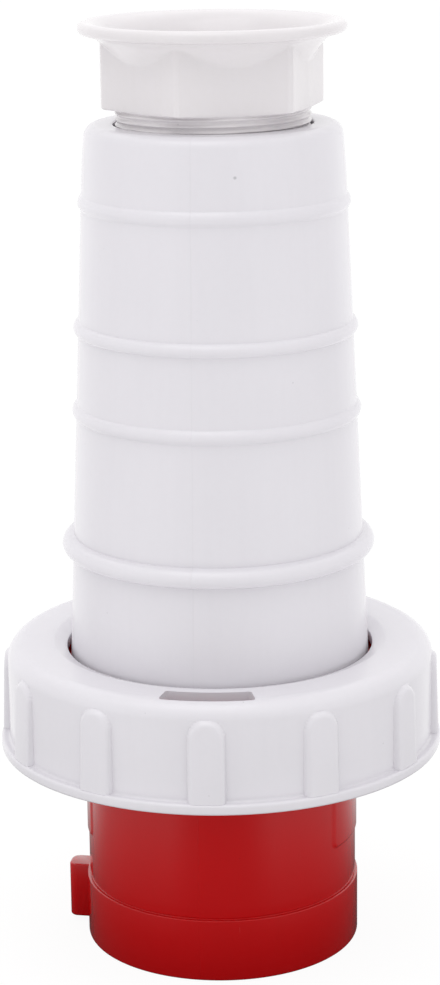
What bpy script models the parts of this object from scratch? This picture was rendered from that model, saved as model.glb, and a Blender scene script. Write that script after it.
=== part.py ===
"""Industrial round-pin power plug for 63 A, standing on the rim of its shroud.

The plug's axis is Z, the rim of the shroud lies in the plane Z = 0 and the
key of the shroud points along -X. Angles are turned from +X towards +Y.
"""

import math

import bmesh
import bpy
from mathutils import Matrix, Vector

MM = 0.001
TURN = 2.0 * math.pi

# Clearances between pieces
SEAT_GAP = 0.3 * MM
SLIDE_GAP = 0.4 * MM

# Plug shroud: sleeve at the mouth, barrel, ledge, flange and spigot
SHROUD_RADIUS = 35.25 * MM
SHROUD_WALL = 3.4 * MM
SLEEVE_HEIGHT = 16.2 * MM
SLEEVE_STEP = 0.6 * MM
RIM_ROUND = 0.5 * MM
SOCKET_DEPTH = 56.0 * MM
PLATE_THICKNESS = 6.0 * MM
PLATE_FLANGE_THICKNESS = 3.7 * MM
LEDGE_WIDTH = 2.05 * MM
FLANGE_LIFT = 7.0 * MM
FLANGE_THICKNESS = 6.6 * MM
FLANGE_BEARING = 7.5 * MM
SPIGOT_HEIGHT = 6.6 * MM
SPIGOT_WALL = 3.4 * MM
KEY_ANGLE = math.radians(180.0)
KEY_REACH = 5.4 * MM
KEY_WIDTH = 6.6 * MM
KEY_BOTTOM = 1.3 * MM
KEY_TOP_STEP = 0.2 * MM
KEY_ROUND = 2.2 * MM
PAD_HEIGHT = 0.35 * MM
PAD_SPAN = math.radians(52.0)
PAD_BOTTOM = 29.0 * MM
PAD_ROUND = 2.0 * MM
PAD_CORNER_SHARE = 0.3
PAD_COLUMNS = 8

# Locking ring
RING_RUNNING_GAP = 1.1 * MM
RING_HEIGHT = 26.9 * MM
RING_TOP_THICKNESS = 4.0 * MM
RING_FLANGE_ROOM = 5.0 * MM
RING_WALL = 2.8 * MM
RING_SHOULDER = 6.0 * MM
RING_CROWN = 1.3 * MM
RING_CROWN_WIDTH = 3.4 * MM
LIP_HEIGHT = 3.3 * MM
LIP_OVERHANG = 2.2 * MM
LIP_ROUND = 0.6 * MM
GRIP_RIB_COUNT = 12
GRIP_RIB_ANGLE = math.radians(-83.9)
GRIP_RIB_WIDTH = 9.8 * MM
GRIP_RIB_DEPTH = 2.2 * MM
GRIP_RIB_PROUD = 1.1 * MM
GRIP_RIB_LEAN = math.radians(2.0)
GRIP_RIB_TOP = 3.9 * MM
WINDOW_COUNT = 2
WINDOW_SPAN = math.radians(27.0)
WINDOW_WIDTH = 5.9 * MM
WINDOW_WALL = 0.3 * MM
LUG_SPAN = math.radians(24.0)
LUG_REACH = 5.0 * MM
LUG_BOTTOM = 2.2 * MM
LUG_THICKNESS = 4.4 * MM
LUG_RAMP = 1.6 * MM

# Handle shell
HANDLE_LENGTH = 135.2 * MM
HANDLE_RADIUS = 38.03 * MM
HANDLE_TAPER = math.radians(2.6)
HANDLE_WALL = 3.2 * MM
HANDLE_FOOT_ROUND = 0.6 * MM
NOSE_HEIGHT = 11.0 * MM
NOSE_INSET = 0.4 * MM
NOSE_ROUND = 3.0 * MM
STOP_BEAD_HEIGHT = 29.9 * MM
STOP_BEAD_HALF = 2.4 * MM
STOP_BEAD_OVERLAP = 0.5 * MM
GRIP_BEAD_HEIGHTS = (64.2 * MM, 85.1 * MM, 116.2 * MM)
GRIP_BEAD_PROUD = (1.0 * MM, 1.2 * MM, 0.8 * MM)
GRIP_BEAD_HALF = 1.75 * MM
NECK_DEPTH = 28.5 * MM
NECK_FLOOR = 3.4 * MM
NECK_HOLE_RADIUS = 17.0 * MM
BOSS_RADIUS = 3.8 * MM
BOSS_HEIGHT = 30.0 * MM
BOSS_SPIGOT_ROOM = 1.1 * MM
WEB_THICKNESS = 3.0 * MM

# Gland: nut, thrust washer and rubber seal in the neck of the handle
THREAD_RADIUS = 24.0 * MM
THREAD_LENGTH = 14.0 * MM
THREAD_PLAY = 0.5 * MM
NUT_STANDOFF = 3.9 * MM
NUT_HEIGHT = 20.7 * MM
NUT_BORE_RADIUS = 18.5 * MM
HEX_ACROSS_FLATS = 48.4 * MM
HEX_CORNER_FLAT = 1.0 * MM
HEX_WAIST_INSET = 1.6 * MM
HEX_ANGLE = math.radians(-98.1)
HEX_SIDES = 6
TRUMPET_RADIUS = 32.7 * MM
ROLL_RADIUS = 1.5 * MM
FLARE_DEPTH = 6.4 * MM
FUNNEL_DEPTH = 17.7 * MM
WASHER_THICKNESS = 1.5 * MM
WASHER_WIDTH = 8.5 * MM
SEAL_WIDTH = 10.5 * MM
SEAL_CHAMFER = 2.2 * MM

# Seals of the flange and the spigot
GASKET_THICKNESS = 4.0 * MM
GASKET_WIDTH = 6.7 * MM
GASKET_ROUND = 0.9 * MM
O_RING_SECTION = 2.0 * MM

# Contacts and their carrier
PIN_CIRCLE_SHARE = 0.618
POLE_COUNT = 5
POWER_PIN_RADIUS = 4.0 * MM
EARTH_PIN_RADIUS = 5.0 * MM
PILOT_PIN_RADIUS = 3.0 * MM
PIN_TIP_DEPTH = 10.0 * MM
PILOT_TIP_DEPTH = 22.0 * MM
PIN_TIP_ROUND = 0.45
PIN_TIP_CORNER = 0.3
TERMINAL_RADIUS = 6.2 * MM
PILOT_TERMINAL_RADIUS = 4.4 * MM
TERMINAL_HEIGHT = 35.0 * MM
TERMINAL_WALL = 2.0 * MM
WIRE_HOLE_DEPTH = 20.0 * MM
COLLAR_WIDTH = 0.8 * MM
COLLAR_HEIGHT = 4.0 * MM
CARRIER_THICKNESS = 12.0 * MM
BARRIER_HEIGHT = 20.0 * MM
BARRIER_THICKNESS = 1.6 * MM
BARRIER_START = 8.0 * MM
BARRIER_END_GAP = 1.2 * MM

# Screws of the terminals and of the handle
TERMINAL_SCREW_RADIUS = 2.2 * MM
TERMINAL_SCREW_LENGTH = 3.0 * MM
TERMINAL_HEAD_RADIUS = 3.4 * MM
TERMINAL_HEAD_HEIGHT = 2.2 * MM
TERMINAL_SCREW_DROPS = (14.0 * MM, 5.5 * MM)
HANDLE_SCREW_RADIUS = 2.0 * MM
HANDLE_SCREW_LENGTH = 36.0 * MM
HANDLE_HEAD_RADIUS = 4.0 * MM
HANDLE_HEAD_HEIGHT = 2.8 * MM
HEAD_EDGE = 0.6 * MM
SLOT_WIDTH = 1.0 * MM
SLOT_DEPTH = 1.1 * MM
THREAD_END = 3.0 * MM

# Facets
SHELL_STEPS = 40
BORE_STEPS = 14
SCREW_STEPS = 8
ARC_STEP = math.radians(30.0)
SMALL_ARC_STEP = math.radians(46.0)
SMALL_ROUND = 1.2 * MM
BEAD_STEPS = 6
O_RING_SIDES = 6
FLARE_STEPS = 5
SHARP_ANGLE = math.radians(32.0)
WELD = 0.001 * MM
OVERRUN = 2.0 * MM

# Heights and radii that follow from the values above
barrel_radius = SHROUD_RADIUS - SLEEVE_STEP
socket_radius = barrel_radius - SHROUD_WALL
ledge_radius = socket_radius - LEDGE_WIDTH
plate_step = SOCKET_DEPTH + PLATE_FLANGE_THICKNESS
plate_top = SOCKET_DEPTH + PLATE_THICKNESS
flange_underside = plate_top + FLANGE_LIFT
flange_top = flange_underside + FLANGE_THICKNESS
handle_foot = flange_top + SEAT_GAP
handle_top = handle_foot + HANDLE_LENGTH
spigot_top = flange_top + SPIGOT_HEIGHT
ring_top = handle_foot + RING_TOP_THICKNESS
ring_bottom = ring_top - RING_HEIGHT
nut_bottom = handle_top + NUT_STANDOFF
nut_top = nut_bottom + NUT_HEIGHT
thread_end = nut_bottom - THREAD_LENGTH
washer_top = thread_end - SEAT_GAP
seal_top = washer_top - WASHER_THICKNESS - SEAT_GAP
neck_floor_top = handle_top - NECK_DEPTH
carrier_bottom = plate_top + SEAT_GAP
carrier_top = carrier_bottom + CARRIER_THICKNESS
terminal_top = carrier_bottom + TERMINAL_HEIGHT
boss_bottom = carrier_top + SEAT_GAP


def handle_radius(height):
    """Outer radius of the tapered handle at a height, without its beads."""
    return HANDLE_RADIUS - (height - handle_foot) * math.tan(HANDLE_TAPER)


neck_radius = THREAD_RADIUS + THREAD_PLAY
foot_bore = handle_radius(spigot_top) - HANDLE_WALL
spigot_radius = foot_bore - SLIDE_GAP
spigot_bore = min(spigot_radius - SPIGOT_WALL, socket_radius)
ring_hole = handle_radius(ring_top) + RING_RUNNING_GAP
flange_radius = ring_hole + FLANGE_BEARING
ring_bore = flange_radius + RING_FLANGE_ROOM
ring_radius = ring_bore + RING_WALL
screw_circle = spigot_bore - BOSS_SPIGOT_ROOM - BOSS_RADIUS
carrier_radius = spigot_bore - SLIDE_GAP
pin_circle = spigot_bore * PIN_CIRCLE_SHARE
pitch = TURN / POLE_COUNT
pin_angles = [KEY_ANGLE + pitch * pole for pole in range(POLE_COUNT)]
screw_angles = [KEY_ANGLE + pitch * (pole + 0.5) for pole in (0, 1, 3, 4)]


def clear_scene():
    """Remove every object of the scene."""
    for obj in list(bpy.data.objects):
        bpy.data.objects.remove(obj)


def material(name, colour, roughness, metallic=0.0):
    """Principled material with a plain colour."""
    made = bpy.data.materials.new(name)
    made.use_nodes = True
    shader = made.node_tree.nodes["Principled BSDF"]
    shader.inputs["Base Color"].default_value = (*colour, 1.0)
    shader.inputs["Roughness"].default_value = roughness
    shader.inputs["Metallic"].default_value = metallic
    made.diffuse_color = (*colour, 1.0)
    return made


def rounded(corners):
    """Closed outline of (x, y) points, with an arc at each corner given as (x, y, radius)."""
    points = []
    for index, corner in enumerate(corners):
        radius = corner[2] if len(corner) > 2 else 0.0
        if radius <= 0.0:
            points.append((corner[0], corner[1]))
            continue
        here = Vector(corner[:2])
        back = Vector(corners[index - 1][:2]) - here
        ahead = Vector(corners[(index + 1) % len(corners)][:2]) - here
        half = back.angle(ahead) / 2.0
        reach = min(radius / math.tan(half), back.length * 0.48, ahead.length * 0.48)
        radius = reach * math.tan(half)
        middle = (back.normalized() + ahead.normalized()).normalized()
        centre = here + middle * (radius / math.sin(half))
        start = here + back.normalized() * reach - centre
        end = here + ahead.normalized() * reach - centre
        first = math.atan2(start.y, start.x)
        sweep = (math.atan2(end.y, end.x) - first + math.pi) % TURN - math.pi
        facet = SMALL_ARC_STEP if radius < SMALL_ROUND else ARC_STEP
        steps = max(1, math.ceil(abs(sweep) / facet))
        for step in range(steps + 1):
            angle = first + sweep * step / steps
            points.append((centre.x + radius * math.cos(angle), centre.y + radius * math.sin(angle)))
    return points


def turned(profile, steps, closed=True):
    """Body turned about Z from (radius, height) points; an open profile ends on the axis."""
    body = bmesh.new()
    verts = [body.verts.new((radius, 0.0, height)) for radius, height in profile]
    ends = verts[1:] + verts[:1] if closed else verts[1:]
    edges = [body.edges.new(pair) for pair in zip(verts, ends)]
    bmesh.ops.spin(
        body,
        geom=verts + edges,
        cent=(0.0, 0.0, 0.0),
        axis=(0.0, 0.0, 1.0),
        angle=TURN,
        steps=steps,
    )
    bmesh.ops.remove_doubles(body, verts=body.verts, dist=WELD)
    bmesh.ops.recalc_face_normals(body, faces=body.faces)
    return body


def cylinder(radius, bottom, top, steps=BORE_STEPS):
    """Round bar along Z."""
    return turned([(0.0, bottom), (radius, bottom), (radius, top), (0.0, top)], steps, closed=False)


def prism(outline, bottom, top):
    """Body of a flat outline of (x, y) points raised from one height to another."""
    body = bmesh.new()
    face = body.faces.new([body.verts.new((x, y, bottom)) for x, y in outline])
    raised = bmesh.ops.extrude_face_region(body, geom=[face])["geom"]
    verts = [item for item in raised if isinstance(item, bmesh.types.BMVert)]
    bmesh.ops.translate(body, verts=verts, vec=(0.0, 0.0, top - bottom))
    bmesh.ops.recalc_face_normals(body, faces=body.faces)
    return body


def arched(columns, inner, outer):
    """Curved block between two radii, from (angle, bottom, top) columns in order."""
    body = bmesh.new()
    rows = []
    for angle, bottom, top in columns:
        along = Vector((math.cos(angle), math.sin(angle), 0.0))
        corners = ((outer, bottom), (outer, top), (inner, top), (inner, bottom))
        rows.append([body.verts.new(along * r + Vector((0.0, 0.0, z))) for r, z in corners])
    for row, following in zip(rows, rows[1:]):
        for side in range(4):
            after = (side + 1) % 4
            body.faces.new((row[side], row[after], following[after], following[side]))
    body.faces.new(rows[0])
    body.faces.new(rows[-1])
    bmesh.ops.recalc_face_normals(body, faces=body.faces)
    return body


def placed(body, angle=0.0, radius=0.0, height=0.0):
    """The same body moved out along X, lifted and then turned about Z."""
    shift = Matrix.Translation((radius, 0.0, height))
    bmesh.ops.transform(body, matrix=Matrix.Rotation(angle, 4, "Z") @ shift, verts=body.verts)
    return body


def mesh_of(body, name):
    """Smooth-shaded mesh of a body, with its hard edges kept sharp."""
    mesh = bpy.data.meshes.new(name)
    body.to_mesh(mesh)
    body.free()
    mesh.shade_smooth()
    mesh.set_sharp_from_angle(angle=SHARP_ANGLE)
    return mesh


def carved(name, base, joined=(), cut=()):
    """Mesh of a base body with others joined to it and then others cut from it."""
    work = bpy.data.objects.new(name, mesh_of(base, name))
    bpy.context.scene.collection.objects.link(work)
    helpers = []
    for operation, bodies in (("UNION", joined), ("DIFFERENCE", cut)):
        for body in bodies:
            helper = bpy.data.objects.new(name + "_tool", mesh_of(body, name + "_tool"))
            bpy.context.scene.collection.objects.link(helper)
            helpers.append(helper)
            step = work.modifiers.new(operation.lower(), "BOOLEAN")
            step.operation = operation
            step.solver = "EXACT"
            step.object = helper
    graph = bpy.context.evaluated_depsgraph_get()
    mesh = bpy.data.meshes.new_from_object(work.evaluated_get(graph))
    mesh.name = name
    mesh.shade_smooth()
    mesh.set_sharp_from_angle(angle=SHARP_ANGLE)
    for obj in [work, *helpers]:
        bpy.data.objects.remove(obj)
    return mesh


def piece(name, mesh, finish, parent, location=(0.0, 0.0, 0.0), turn=(0.0, 0.0, 0.0)):
    """Named object with its own material, placed under a parent."""
    obj = bpy.data.objects.new(name, mesh)
    if not mesh.materials:
        mesh.materials.append(finish)
    bpy.context.scene.collection.objects.link(obj)
    obj.parent = parent
    obj.location = location
    obj.rotation_euler = turn
    return obj


def empty(name, location=(0.0, 0.0, 0.0)):
    """Empty that marks an axis and carries its pieces."""
    obj = bpy.data.objects.new(name, None)
    bpy.context.scene.collection.objects.link(obj)
    obj.location = location
    return obj


def spaced(first, last, count):
    """Evenly spaced values from first to last, both included."""
    return [first + (last - first) * index / (count - 1) for index in range(count)]


def bead(height, half, proud):
    """Points of a half-round bead around the handle, from its lower to its upper edge."""
    arc_radius = (half * half + proud * proud) / (2.0 * proud)
    half_angle = 2.0 * math.atan(proud / half)
    points = []
    for angle in spaced(-half_angle, half_angle, BEAD_STEPS + 1):
        level = height + arc_radius * math.sin(angle)
        rise = arc_radius * (math.cos(angle) - math.cos(half_angle))
        points.append((handle_radius(level) + rise, level))
    return points


def shroud_key():
    """Key block on the sleeve, with rounded outer corners."""
    tip = SHROUD_RADIUS + KEY_REACH
    root = SHROUD_RADIUS - SHROUD_WALL / 2.0
    half = KEY_WIDTH / 2.0
    outline = rounded([(root, -half), (tip, -half, KEY_ROUND), (tip, half, KEY_ROUND), (root, half)])
    return placed(prism(outline, KEY_BOTTOM, SLEEVE_HEIGHT - KEY_TOP_STEP), KEY_ANGLE)


def shroud_pad(middle):
    """Slightly raised field on the barrel, with round lower corners."""
    surface = barrel_radius + PAD_HEIGHT
    columns = []
    for angle in spaced(-PAD_SPAN / 2.0, PAD_SPAN / 2.0, PAD_COLUMNS + 1):
        columns.append((angle, PAD_BOTTOM))
    corner = PAD_ROUND / surface
    rise = PAD_ROUND * (1.0 - math.sqrt(1.0 - (1.0 - PAD_CORNER_SHARE) ** 2))
    for side in (-1.0, 1.0):
        columns.append((side * (PAD_SPAN / 2.0 - corner * PAD_CORNER_SHARE), PAD_BOTTOM + rise))
        columns.append((side * (PAD_SPAN / 2.0 - corner), PAD_BOTTOM))
    columns.sort()
    columns[0] = (columns[0][0], PAD_BOTTOM + PAD_ROUND)
    columns[-1] = (columns[-1][0], PAD_BOTTOM + PAD_ROUND)
    top = flange_underside + OVERRUN
    steps = [(middle + angle, bottom, top) for angle, bottom in columns]
    return arched(steps, barrel_radius - SHROUD_WALL / 2.0, surface)


def pin_hole(radius, angle, circle):
    """Cutter for the hole of one pin through the front plate."""
    hole = cylinder(radius + SLIDE_GAP, SOCKET_DEPTH - OVERRUN, plate_top + OVERRUN)
    return placed(hole, angle, circle)


def plate_screw_hole(angle):
    """Cutter for one handle screw and the well of its head in the front plate."""
    well = HANDLE_HEAD_RADIUS + SLIDE_GAP
    shank = HANDLE_SCREW_RADIUS + SLIDE_GAP
    seat = SOCKET_DEPTH + HANDLE_HEAD_HEIGHT + SEAT_GAP
    profile = [
        (0.0, SOCKET_DEPTH - OVERRUN),
        (well, SOCKET_DEPTH - OVERRUN),
        (well, seat),
        (shank, seat),
        (shank, plate_top + OVERRUN),
        (0.0, plate_top + OVERRUN),
    ]
    return placed(turned(profile, BORE_STEPS, closed=False), angle, screw_circle)


def plug_shroud():
    """Shroud with a ledge for the front plate, flange, spigot, key and pads."""
    groove_floor = spigot_radius - O_RING_SECTION - SEAT_GAP + SLIDE_GAP
    groove_middle = (flange_top + spigot_top) / 2.0
    groove_half = O_RING_SECTION / 2.0 + SEAT_GAP
    profile = rounded([
        (ledge_radius, plate_step + SEAT_GAP),
        (socket_radius, plate_step + SEAT_GAP),
        (socket_radius, 0.0, RIM_ROUND),
        (SHROUD_RADIUS, 0.0, RIM_ROUND),
        (SHROUD_RADIUS, SLEEVE_HEIGHT),
        (barrel_radius, SLEEVE_HEIGHT),
        (barrel_radius, flange_underside),
        (flange_radius, flange_underside, RIM_ROUND),
        (flange_radius, flange_top, RIM_ROUND),
        (spigot_radius, flange_top),
        (spigot_radius, groove_middle - groove_half),
        (groove_floor, groove_middle - groove_half),
        (groove_floor, groove_middle + groove_half),
        (spigot_radius, groove_middle + groove_half),
        (spigot_radius, spigot_top, RIM_ROUND / 2.0),
        (spigot_bore, spigot_top),
        (spigot_bore, plate_top),
        (ledge_radius, plate_top),
    ])
    return carved(
        "plug_shroud",
        turned(profile, SHELL_STEPS),
        joined=[shroud_key(), shroud_pad(0.0), shroud_pad(math.pi)],
    )


def front_plate():
    """Stepped disc that closes the shroud, with holes for the pins and the handle screws."""
    outer = socket_radius - SEAT_GAP
    step = ledge_radius - SEAT_GAP
    disc = turned(
        [
            (0.0, SOCKET_DEPTH),
            (outer, SOCKET_DEPTH),
            (outer, plate_step),
            (step, plate_step),
            (step, plate_top),
            (0.0, plate_top),
        ],
        SHELL_STEPS,
        closed=False,
    )
    holes = [pin_hole(PILOT_PIN_RADIUS, 0.0, 0.0)]
    holes += [pin_hole(EARTH_PIN_RADIUS, pin_angles[0], pin_circle)]
    holes += [pin_hole(POWER_PIN_RADIUS, angle, pin_circle) for angle in pin_angles[1:]]
    holes += [plate_screw_hole(angle) for angle in screw_angles]
    return carved("front_plate", disc, cut=holes)


def grip_rib(angle):
    """Half-round rib with a domed top, leaning out towards the lip."""
    half = GRIP_RIB_WIDTH / 2.0
    top = ring_top - GRIP_RIB_TOP
    foot = ring_bottom + LIP_HEIGHT / 2.0
    profile = [(0.0, foot - top), (half, foot - top)]
    for rise in spaced(0.0, math.pi / 2.0, 4)[:-1]:
        profile.append((half * math.cos(rise), half * math.sin(rise) - half))
    profile.append((0.0, 0.0))
    rib = turned(profile, BORE_STEPS, closed=False)
    flat = Matrix.Diagonal((GRIP_RIB_DEPTH / half, 1.0, 1.0, 1.0))
    bmesh.ops.transform(rib, matrix=Matrix.Rotation(-GRIP_RIB_LEAN, 4, "Y") @ flat, verts=rib.verts)
    return placed(rib, angle, ring_radius + GRIP_RIB_PROUD - GRIP_RIB_DEPTH, top)


def lug(angle):
    """Bayonet lug inside the ring, with a rising upper face."""
    bottom = ring_bottom + LUG_BOTTOM
    columns = []
    for share in spaced(0.0, 1.0, 5):
        top = bottom + LUG_THICKNESS + LUG_RAMP * share
        columns.append((angle + LUG_SPAN * (share - 0.5), bottom, top))
    return arched(columns, ring_bore - LUG_REACH, ring_bore + RING_WALL / 2.0)


def window(angle):
    """Cutter for one curved window through the top of the ring."""
    outer = ring_bore - WINDOW_WALL
    columns = []
    for side in spaced(-WINDOW_SPAN / 2.0, WINDOW_SPAN / 2.0, 7):
        columns.append((angle + side, handle_foot - OVERRUN, ring_top + OVERRUN))
    return arched(columns, outer - WINDOW_WIDTH, outer)


def locking_ring():
    """Ring with shoulder, lip, grip ribs, windows and bayonet lugs."""
    lip_radius = ring_radius + LIP_OVERHANG
    body = turned(
        rounded([
            (0.0, ring_bottom),
            (lip_radius, ring_bottom, LIP_ROUND),
            (lip_radius, ring_bottom + LIP_HEIGHT, LIP_ROUND / 2.0),
            (ring_radius, ring_bottom + LIP_HEIGHT),
            (ring_radius, ring_top, RING_SHOULDER),
            (ring_hole + RING_CROWN_WIDTH, ring_top),
            (ring_hole, ring_top - RING_CROWN),
            (0.0, ring_top - RING_CROWN),
        ]),
        SHELL_STEPS,
        closed=False,
    )
    hollow = turned(
        rounded([
            (0.0, ring_bottom - OVERRUN),
            (ring_bore, ring_bottom - OVERRUN),
            (ring_bore, handle_foot, RING_SHOULDER - RING_WALL),
            (ring_hole, handle_foot),
            (ring_hole, ring_top + OVERRUN),
            (0.0, ring_top + OVERRUN),
        ]),
        SHELL_STEPS,
        closed=False,
    )
    ribs = []
    for number in range(GRIP_RIB_COUNT):
        ribs.append(grip_rib(GRIP_RIB_ANGLE + TURN * number / GRIP_RIB_COUNT))
    stations = [GRIP_RIB_ANGLE + TURN * number / WINDOW_COUNT for number in range(WINDOW_COUNT)]
    shell = bmesh.new()
    shell.from_mesh(carved("ring_shell", body, joined=ribs, cut=[hollow]))
    return carved(
        "locking_ring",
        shell,
        joined=[lug(angle) for angle in stations],
        cut=[window(angle) for angle in stations],
    )


def handle_boss(angle):
    """Boss for one handle screw, with the web that ties it to the wall."""
    boss = cylinder(BOSS_RADIUS, boss_bottom, boss_bottom + BOSS_HEIGHT)
    return placed(boss, angle, screw_circle)


def handle_web(angle):
    """Web between a boss and the wall, above the spigot."""
    half = WEB_THICKNESS / 2.0
    top = boss_bottom + BOSS_HEIGHT - OVERRUN
    outer = handle_radius(top) - HANDLE_WALL / 2.0
    outline = [(screw_circle, -half), (outer, -half), (outer, half), (screw_circle, half)]
    return placed(prism(outline, spigot_top + OVERRUN, top), angle)


def boss_hole(angle):
    """Cutter for the blind hole of one handle screw."""
    depth = SOCKET_DEPTH + HANDLE_SCREW_LENGTH + THREAD_END
    hole = cylinder(HANDLE_SCREW_RADIUS + SLIDE_GAP, boss_bottom - OVERRUN, depth)
    return placed(hole, angle, screw_circle)


def handle_shell():
    """Tapered hand grip with beads, threaded neck and screw bosses."""
    nose = handle_top - NOSE_HEIGHT
    stop_proud = ring_hole + STOP_BEAD_OVERLAP - handle_radius(handle_foot + STOP_BEAD_HEIGHT)
    floor_under = neck_floor_top - NECK_FLOOR
    outside = [(foot_bore, handle_foot), (HANDLE_RADIUS, handle_foot, HANDLE_FOOT_ROUND)]
    outside += bead(handle_foot + STOP_BEAD_HEIGHT, STOP_BEAD_HALF, stop_proud)
    for height, proud in zip(GRIP_BEAD_HEIGHTS, GRIP_BEAD_PROUD):
        outside += bead(handle_foot + height, GRIP_BEAD_HALF, proud)
    outside += [(handle_radius(nose), nose), (handle_radius(handle_top) - NOSE_INSET, handle_top, NOSE_ROUND)]
    inside = [
        (neck_radius, handle_top, RIM_ROUND),
        (neck_radius, neck_floor_top),
        (NECK_HOLE_RADIUS, neck_floor_top),
        (NECK_HOLE_RADIUS, floor_under),
        (handle_radius(floor_under) - HANDLE_WALL, floor_under, NOSE_ROUND),
        (foot_bore, spigot_top),
    ]
    return carved(
        "handle_shell",
        turned(rounded(outside + inside), SHELL_STEPS),
        joined=[handle_boss(angle) for angle in screw_angles] + [handle_web(angle) for angle in screw_angles],
        cut=[boss_hole(angle) for angle in screw_angles],
    )


def trumpet_curve(edge, height, drop, root, reach, steps):
    """Points of a curve that falls as the square of its distance inside an edge."""
    points = []
    for radius in spaced(reach, edge, steps + 1):
        share = (edge - radius) / (edge - root)
        points.append((radius, height - drop * share * share))
    return points


def funnel(offset):
    """Inner outline of the nut from its mouth down to its bore, moved out by an offset."""
    edge = TRUMPET_RADIUS - ROLL_RADIUS
    points = trumpet_curve(edge, nut_top, FUNNEL_DEPTH, NUT_BORE_RADIUS, NUT_BORE_RADIUS, FLARE_STEPS)
    return [(radius + offset, height) for radius, height in reversed(points)]


def gland_nut():
    """Gland nut: threaded sleeve, hexagon and trumpet with a rolled rim."""
    edge = TRUMPET_RADIUS - ROLL_RADIUS
    roll_middle = nut_top - ROLL_RADIUS
    flat_radius = HEX_ACROSS_FLATS / 2.0
    corner_radius = flat_radius / math.cos(math.pi / HEX_SIDES)
    waist = flat_radius - HEX_WAIST_INSET
    flare = trumpet_curve(edge, roll_middle - ROLL_RADIUS, FLARE_DEPTH, flat_radius, waist, FLARE_STEPS)
    roll = []
    for angle in spaced(-math.pi / 2.0, math.pi / 2.0, 6)[1:-1]:
        roll.append((edge + ROLL_RADIUS * math.cos(angle), roll_middle + ROLL_RADIUS * math.sin(angle)))
    sleeve = [
        (NUT_BORE_RADIUS, thread_end),
        (THREAD_RADIUS - RIM_ROUND, thread_end),
        (THREAD_RADIUS, thread_end + RIM_ROUND),
        (THREAD_RADIUS, nut_bottom + HEX_CORNER_FLAT),
        (waist, nut_bottom + HEX_CORNER_FLAT),
    ]
    body = turned(sleeve + flare + roll + funnel(0.0), SHELL_STEPS)
    cover = flare[-1][1] - FLARE_DEPTH * ((edge - corner_radius - HEX_CORNER_FLAT) / (edge - flat_radius)) ** 2
    return carved("gland_nut", body, joined=[hexagon(corner_radius, cover)])


def hexagon(corner_radius, top):
    """Hexagon with narrow flats on its corners, hollowed to stay inside the trumpet's wall."""
    flat_radius = HEX_ACROSS_FLATS / 2.0
    half_flat = HEX_CORNER_FLAT / 2.0
    distance = corner_radius - half_flat * math.tan(math.pi / HEX_SIDES)
    reach = math.hypot(distance, half_flat)
    lean = math.atan2(half_flat, distance)
    outline = []
    for side in range(HEX_SIDES):
        for step in (-lean, lean):
            angle = HEX_ANGLE + TURN * side / HEX_SIDES + step
            outline.append((reach * math.cos(angle), reach * math.sin(angle)))
    wall = (flat_radius - HEX_WAIST_INSET - NUT_BORE_RADIUS) / 2.0
    core = [(0.0, nut_top)] + funnel(wall) + [
        (NUT_BORE_RADIUS + wall, nut_bottom - OVERRUN),
        (0.0, nut_bottom - OVERRUN),
    ]
    core_body = turned(core, SHELL_STEPS, closed=False)
    mesh = carved("hexagon", prism(outline, nut_bottom, top), cut=[core_body])
    body = bmesh.new()
    body.from_mesh(mesh)
    return body


def band(bottom, top, inner, outer, rounding=0.0):
    """Turned ring of a plain section whose outer corners are rounded."""
    corners = [(inner, bottom), (outer, bottom, rounding), (outer, top, rounding), (inner, top)]
    return turned(rounded(corners), SHELL_STEPS)


def cable_seal():
    """Rubber seal of the gland, coned at both ends."""
    outer = neck_radius - SEAT_GAP
    inner = outer - SEAL_WIDTH
    bottom = neck_floor_top + SEAT_GAP
    profile = [
        (inner, bottom + SEAL_CHAMFER),
        (inner + SEAL_CHAMFER, bottom),
        (outer, bottom),
        (outer, seal_top - SEAL_CHAMFER),
        (outer - SEAL_CHAMFER, seal_top),
        (inner + SEAL_CHAMFER, seal_top),
        (inner, seal_top - SEAL_CHAMFER),
    ]
    return mesh_of(turned(profile, SHELL_STEPS), "cable_seal")


def thrust_washer():
    """Washer between the nut and the seal."""
    outer = THREAD_RADIUS
    return mesh_of(band(washer_top - WASHER_THICKNESS, washer_top, outer - WASHER_WIDTH, outer), "gland_thrust_washer")


def flange_gasket():
    """Rubber gasket under the flange, around the barrel."""
    inner = barrel_radius + PAD_HEIGHT + SEAT_GAP
    top = flange_underside - SEAT_GAP
    body = band(top - GASKET_THICKNESS, top, inner, inner + GASKET_WIDTH, GASKET_ROUND)
    return mesh_of(body, "flange_gasket")


def handle_seal():
    """Round-section ring in the groove of the spigot."""
    middle = (flange_top + spigot_top) / 2.0
    centre = foot_bore - SEAT_GAP - O_RING_SECTION / 2.0
    half = O_RING_SECTION / 2.0
    section = []
    for angle in spaced(0.0, TURN, O_RING_SIDES + 1)[:-1]:
        section.append((centre + half * math.cos(angle), middle + half * math.sin(angle)))
    return mesh_of(turned(section, SHELL_STEPS), "handle_seal")


def carrier_hole(radius, angle, circle):
    """Cutter for one terminal: a pocket for its collar, then a close hole."""
    pocket = radius + COLLAR_WIDTH + SEAT_GAP
    close = radius + SEAT_GAP
    ledge = carrier_bottom + COLLAR_HEIGHT + SEAT_GAP
    profile = [
        (0.0, carrier_bottom - OVERRUN),
        (pocket, carrier_bottom - OVERRUN),
        (pocket, ledge),
        (close, ledge),
        (close, carrier_top + OVERRUN),
        (0.0, carrier_top + OVERRUN),
    ]
    return placed(turned(profile, BORE_STEPS, closed=False), angle, circle)


def carrier_screw_hole(angle):
    """Cutter for one handle screw through the carrier."""
    hole = cylinder(HANDLE_SCREW_RADIUS + SLIDE_GAP, carrier_bottom - OVERRUN, carrier_top + OVERRUN, SCREW_STEPS)
    return placed(hole, angle, screw_circle)


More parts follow.
